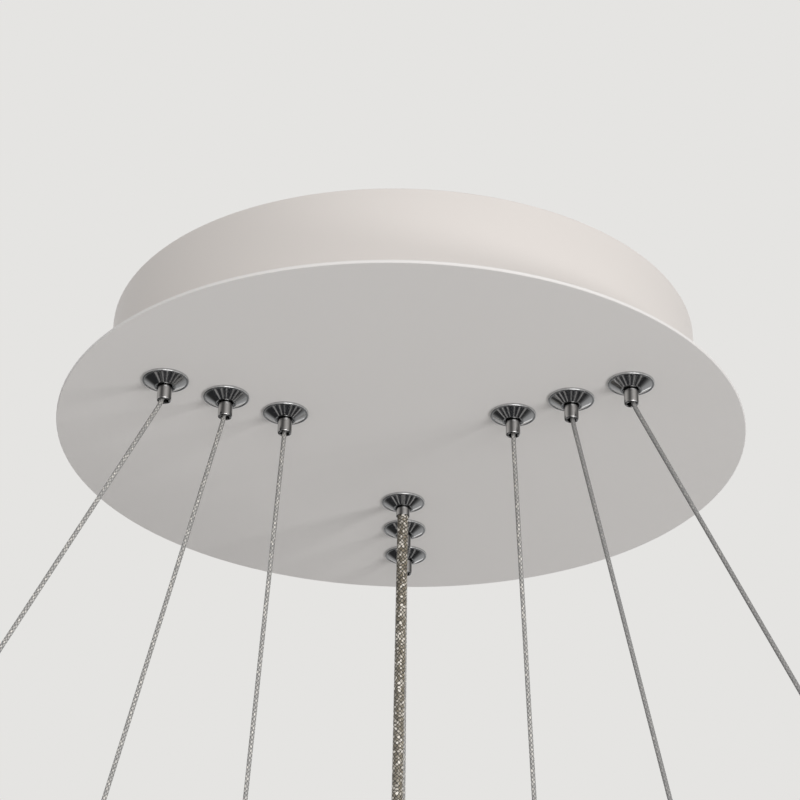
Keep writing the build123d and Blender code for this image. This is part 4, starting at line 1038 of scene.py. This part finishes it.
class RINGLIGHT_OT_rings(bpy.types.Operator):
    """Three rings: powder-coated profile, milky strip, LED strip and chrome anchors"""

    bl_idname = "ringlight.rings"
    bl_label = "Rings"

    turns = 320
    # Sizes of the sections in millimetres.
    width = RING_WIDTH / MM
    wall = 1.5
    duct = 14.5
    play = 0.1
    leg = 8.5
    leg_wall = 1.2
    face = 2.5

    def execute(self, context):
        choice = settings("rings")
        paint = grained("ring powder coat", choice.paint, (0.38, 0.5), 0.97, 12.0, 1700.0)
        milk = grained("milky acrylic", choice.milk, (0.3, 0.38), 0.98, 6.0, 900.0, 0.01 * MM)
        shader = milk.node_tree.nodes["Principled BSDF"].inputs
        shader["Subsurface Weight"].default_value = 0.25
        shader["Subsurface Radius"].default_value = (3 * MM, 3 * MM, 2.6 * MM)
        chrome = grained(
            "anchor chrome", settings("grips").chrome, (0.06, 0.14), 0.92, 60.0, 900.0,
            0.01 * MM, metallic=1.0,
        )
        strip = grained("led strip", (0.80, 0.74, 0.50), (0.4, 0.6), 0.9, 140.0, 900.0)
        for ring in RINGS:
            body = f"{ring}_ring"
            profile = self.hoop(ring, "profile", self.profile_rows(ring, choice))
            dress(profile, paint, f"{body}_channel", body)
            diffuser = self.hoop(ring, "milk", self.diffuser_rows())
            dress(diffuser, milk, f"{body}_diffuser", body)
            smooth_copy(f"{body}_anchors", chrome, body)
            smooth_copy(f"{body}_led_strip", strip, body)
            self.ball_ends(ring, chrome)
        return {"FINISHED"}

    def hoop(self, ring, name, rows):
        """Section swung round the axis: its rows count inwards from the ring's outside."""
        outer = RING_RADII[ring] / MM
        floor = RING_BOXES[ring][0].z
        outline = rounded([(outer - inward, *rest) for inward, *rest in rows], floor)
        return lathe(f"{ring}_ring_{name}", outline, (0.0, 0.0), self.turns)

    def profile_rows(self, ring, choice):
        """Bent profile: outside with rounded edges, open trough below, and a closed duct above."""
        low, high = RING_BOXES[ring]
        top = (high.z - low.z) / MM
        edge = choice.edge / MM * 2
        web = top - self.duct
        return [
            (self.width, 0.0, 0.25), (self.width, top, edge),
            (0.0, top, edge), (0.0, 0.0, 0.25),
            (self.wall, 0.0, 0.2), (self.wall, web, 0.3),
            (self.width - self.wall, web, 0.3), (self.width - self.wall, 0.0, 0.2),
        ]

    def diffuser_rows(self):
        """Milky strip with a leg up each wall of the trough and softly rounded edges."""
        near = self.wall + self.play
        far = self.width - near
        return [
            (far, 0.0, 0.4), (far, self.leg, 0.2),
            (far - self.leg_wall, self.leg, 0.2), (far - self.leg_wall, self.face, 0.4),
            (near + self.leg_wall, self.face, 0.4), (near + self.leg_wall, self.leg, 0.2),
            (near, self.leg, 0.2), (near, 0.0, 0.4),
        ]

    def ball_ends(self, ring, chrome):
        """Swaged balls on the wires' lower ends, in the anchors' sockets."""
        reach = RING_RADII[ring] - RING_WIDTH / 2
        rows = [row for row, spot in GRIPS if RING_OF_SPOT[spot] == ring]
        balls = [
            ball(f"{ring}_ball_{row}", along_row(row, reach, BALL_LEVELS[ring]), BALL_RADIUS)
            for row in rows
        ]
        whole = joined(f"{ring}_ring_ball_ends", balls)
        dress(whole, chrome, body=f"{ring}_ring")


class RINGLIGHT_OT_inside(bpy.types.Operator):
    """Finish of what the canopy holds: bracket, nuts, driver, terminals and leads"""

    bl_idname = "ringlight.inside"
    bl_label = "Inside of the canopy"

    def execute(self, context):
        metal = partial(grained, relief=900.0, metallic=1.0)
        lead = partial(grained, rough=(0.32, 0.42), mottle=60.0, relief=600.0)
        zinc = metal("zinc plate", (0.55, 0.55, 0.53), (0.28, 0.45), 0.8, 45.0)
        steel = metal("screw steel", (0.58, 0.58, 0.58), (0.2, 0.32), 0.85, 90.0)
        brass = metal("nickel brass", (0.66, 0.58, 0.40), (0.2, 0.32), 0.85, 90.0)
        plastic = grained(
            "driver case", (0.80, 0.80, 0.78), (0.5, 0.62), 0.95, 25.0, 1800.0, 0.04 * MM
        )
        board = grained("circuit board", (0.05, 0.22, 0.10), (0.3, 0.5), 0.7, 120.0, 900.0)
        cream = grained("terminal case", (0.76, 0.74, 0.66), (0.42, 0.55), 0.94, 40.0, 1200.0)
        brown = lead("lead brown", (0.16, 0.07, 0.035), share=0.85)
        red = lead("lead red", (0.50, 0.03, 0.02), share=0.85)
        green = lead("lead green", (0.16, 0.36, 0.04), share=0.8)
        rope = bpy.data.materials["coated rope"]
        grey = (0.45, 0.41, 0.36)
        jacket = grained("jacket end", grey, (0.25, 0.4), 0.6, 900.0, 1800.0, coat=0.6)
        # Material, slot, and the bevel's width in millimetres.
        finishes = {
            "ceiling_bracket": (zinc, "zinc_steel", 0.3),
            "side_screws": (steel, "screw_steel", 0.12),
            "plate_nuts": (steel, "screw_steel", 0.1),
            "gripper_nuts": (brass, "gripper_brass", 0.15),
            "gripper_caps": (brass, "gripper_brass", 0.1),
            "cord_clamp_screw": (steel, "screw_steel", 0.0),
            "driver_case": (plastic, "driver_plastic", 0.25),
            "driver_lid": (plastic, "driver_plastic", 0.0),
            "driver_board": (board, "circuit_board", 0.0),
            "terminal_block": (cream, "terminal_plastic", 0.25),
            "terminal_screws": (brass, "terminal_brass", 0.0),
            "mains_leads": (brown, "lead_insulation", 0.0),
            "ring_feed_leads": (red, "lead_insulation_red", 0.0),
            "earth_lead": (green, "earth_insulation", 0.0),
            "supply_cord_tail": (jacket, "cord_braid", 0.0),
            "wire_tails": (rope, "wire_coated", 0.0),
        }
        for node, (material, slot, bevel) in finishes.items():
            smooth_copy(node, material, "canopy", bevel * MM)
        for row, spot in GRIPS:
            node = f"gripper_spring_{row}_{spot}"
            coil = smooth_copy(node, steel)
            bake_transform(coil)
        return {"FINISHED"}


class RINGLIGHT_PT_panel(bpy.types.Panel):
    """Sizes and colours of the chandelier, and the steps that make it"""

    bl_idname = "RINGLIGHT_PT_panel"
    bl_label = "Ring chandelier"
    bl_space_type = "VIEW_3D"
    bl_region_type = "UI"
    bl_category = "Ring chandelier"

    def draw(self, context):
        for group, kind in GROUPS.items():
            box = self.layout.box()
            box.label(text=group.capitalize())
            for name in kind.__annotations__:
                box.prop(settings(group), name)
        for step in STEPS:
            self.layout.operator(step.bl_idname)


STEPS = (
    RINGLIGHT_OT_stage,
    RINGLIGHT_OT_wires,
    RINGLIGHT_OT_cord,
    RINGLIGHT_OT_grips,
    RINGLIGHT_OT_canopy,
    RINGLIGHT_OT_rings,
    RINGLIGHT_OT_inside,
)
CLASSES = (*GROUPS.values(), *STEPS, RINGLIGHT_PT_panel)


def register():
    """Makes the classes and the scene's settings known."""
    for kind in CLASSES:
        bpy.utils.register_class(kind)
    for group, kind in GROUPS.items():
        setattr(bpy.types.Scene, "ring_light_" + group, PointerProperty(type=kind))


def unregister():
    """Takes the scene's settings and the classes away again."""
    for group in GROUPS:
        delattr(bpy.types.Scene, "ring_light_" + group)
    for kind in reversed(CLASSES):
        bpy.utils.unregister_class(kind)


def main():
    register()
    for step in STEPS:
        family, action = step.bl_idname.split(".")
        getattr(getattr(bpy.ops, family), action)()


if __name__ == "__main__":
    main()
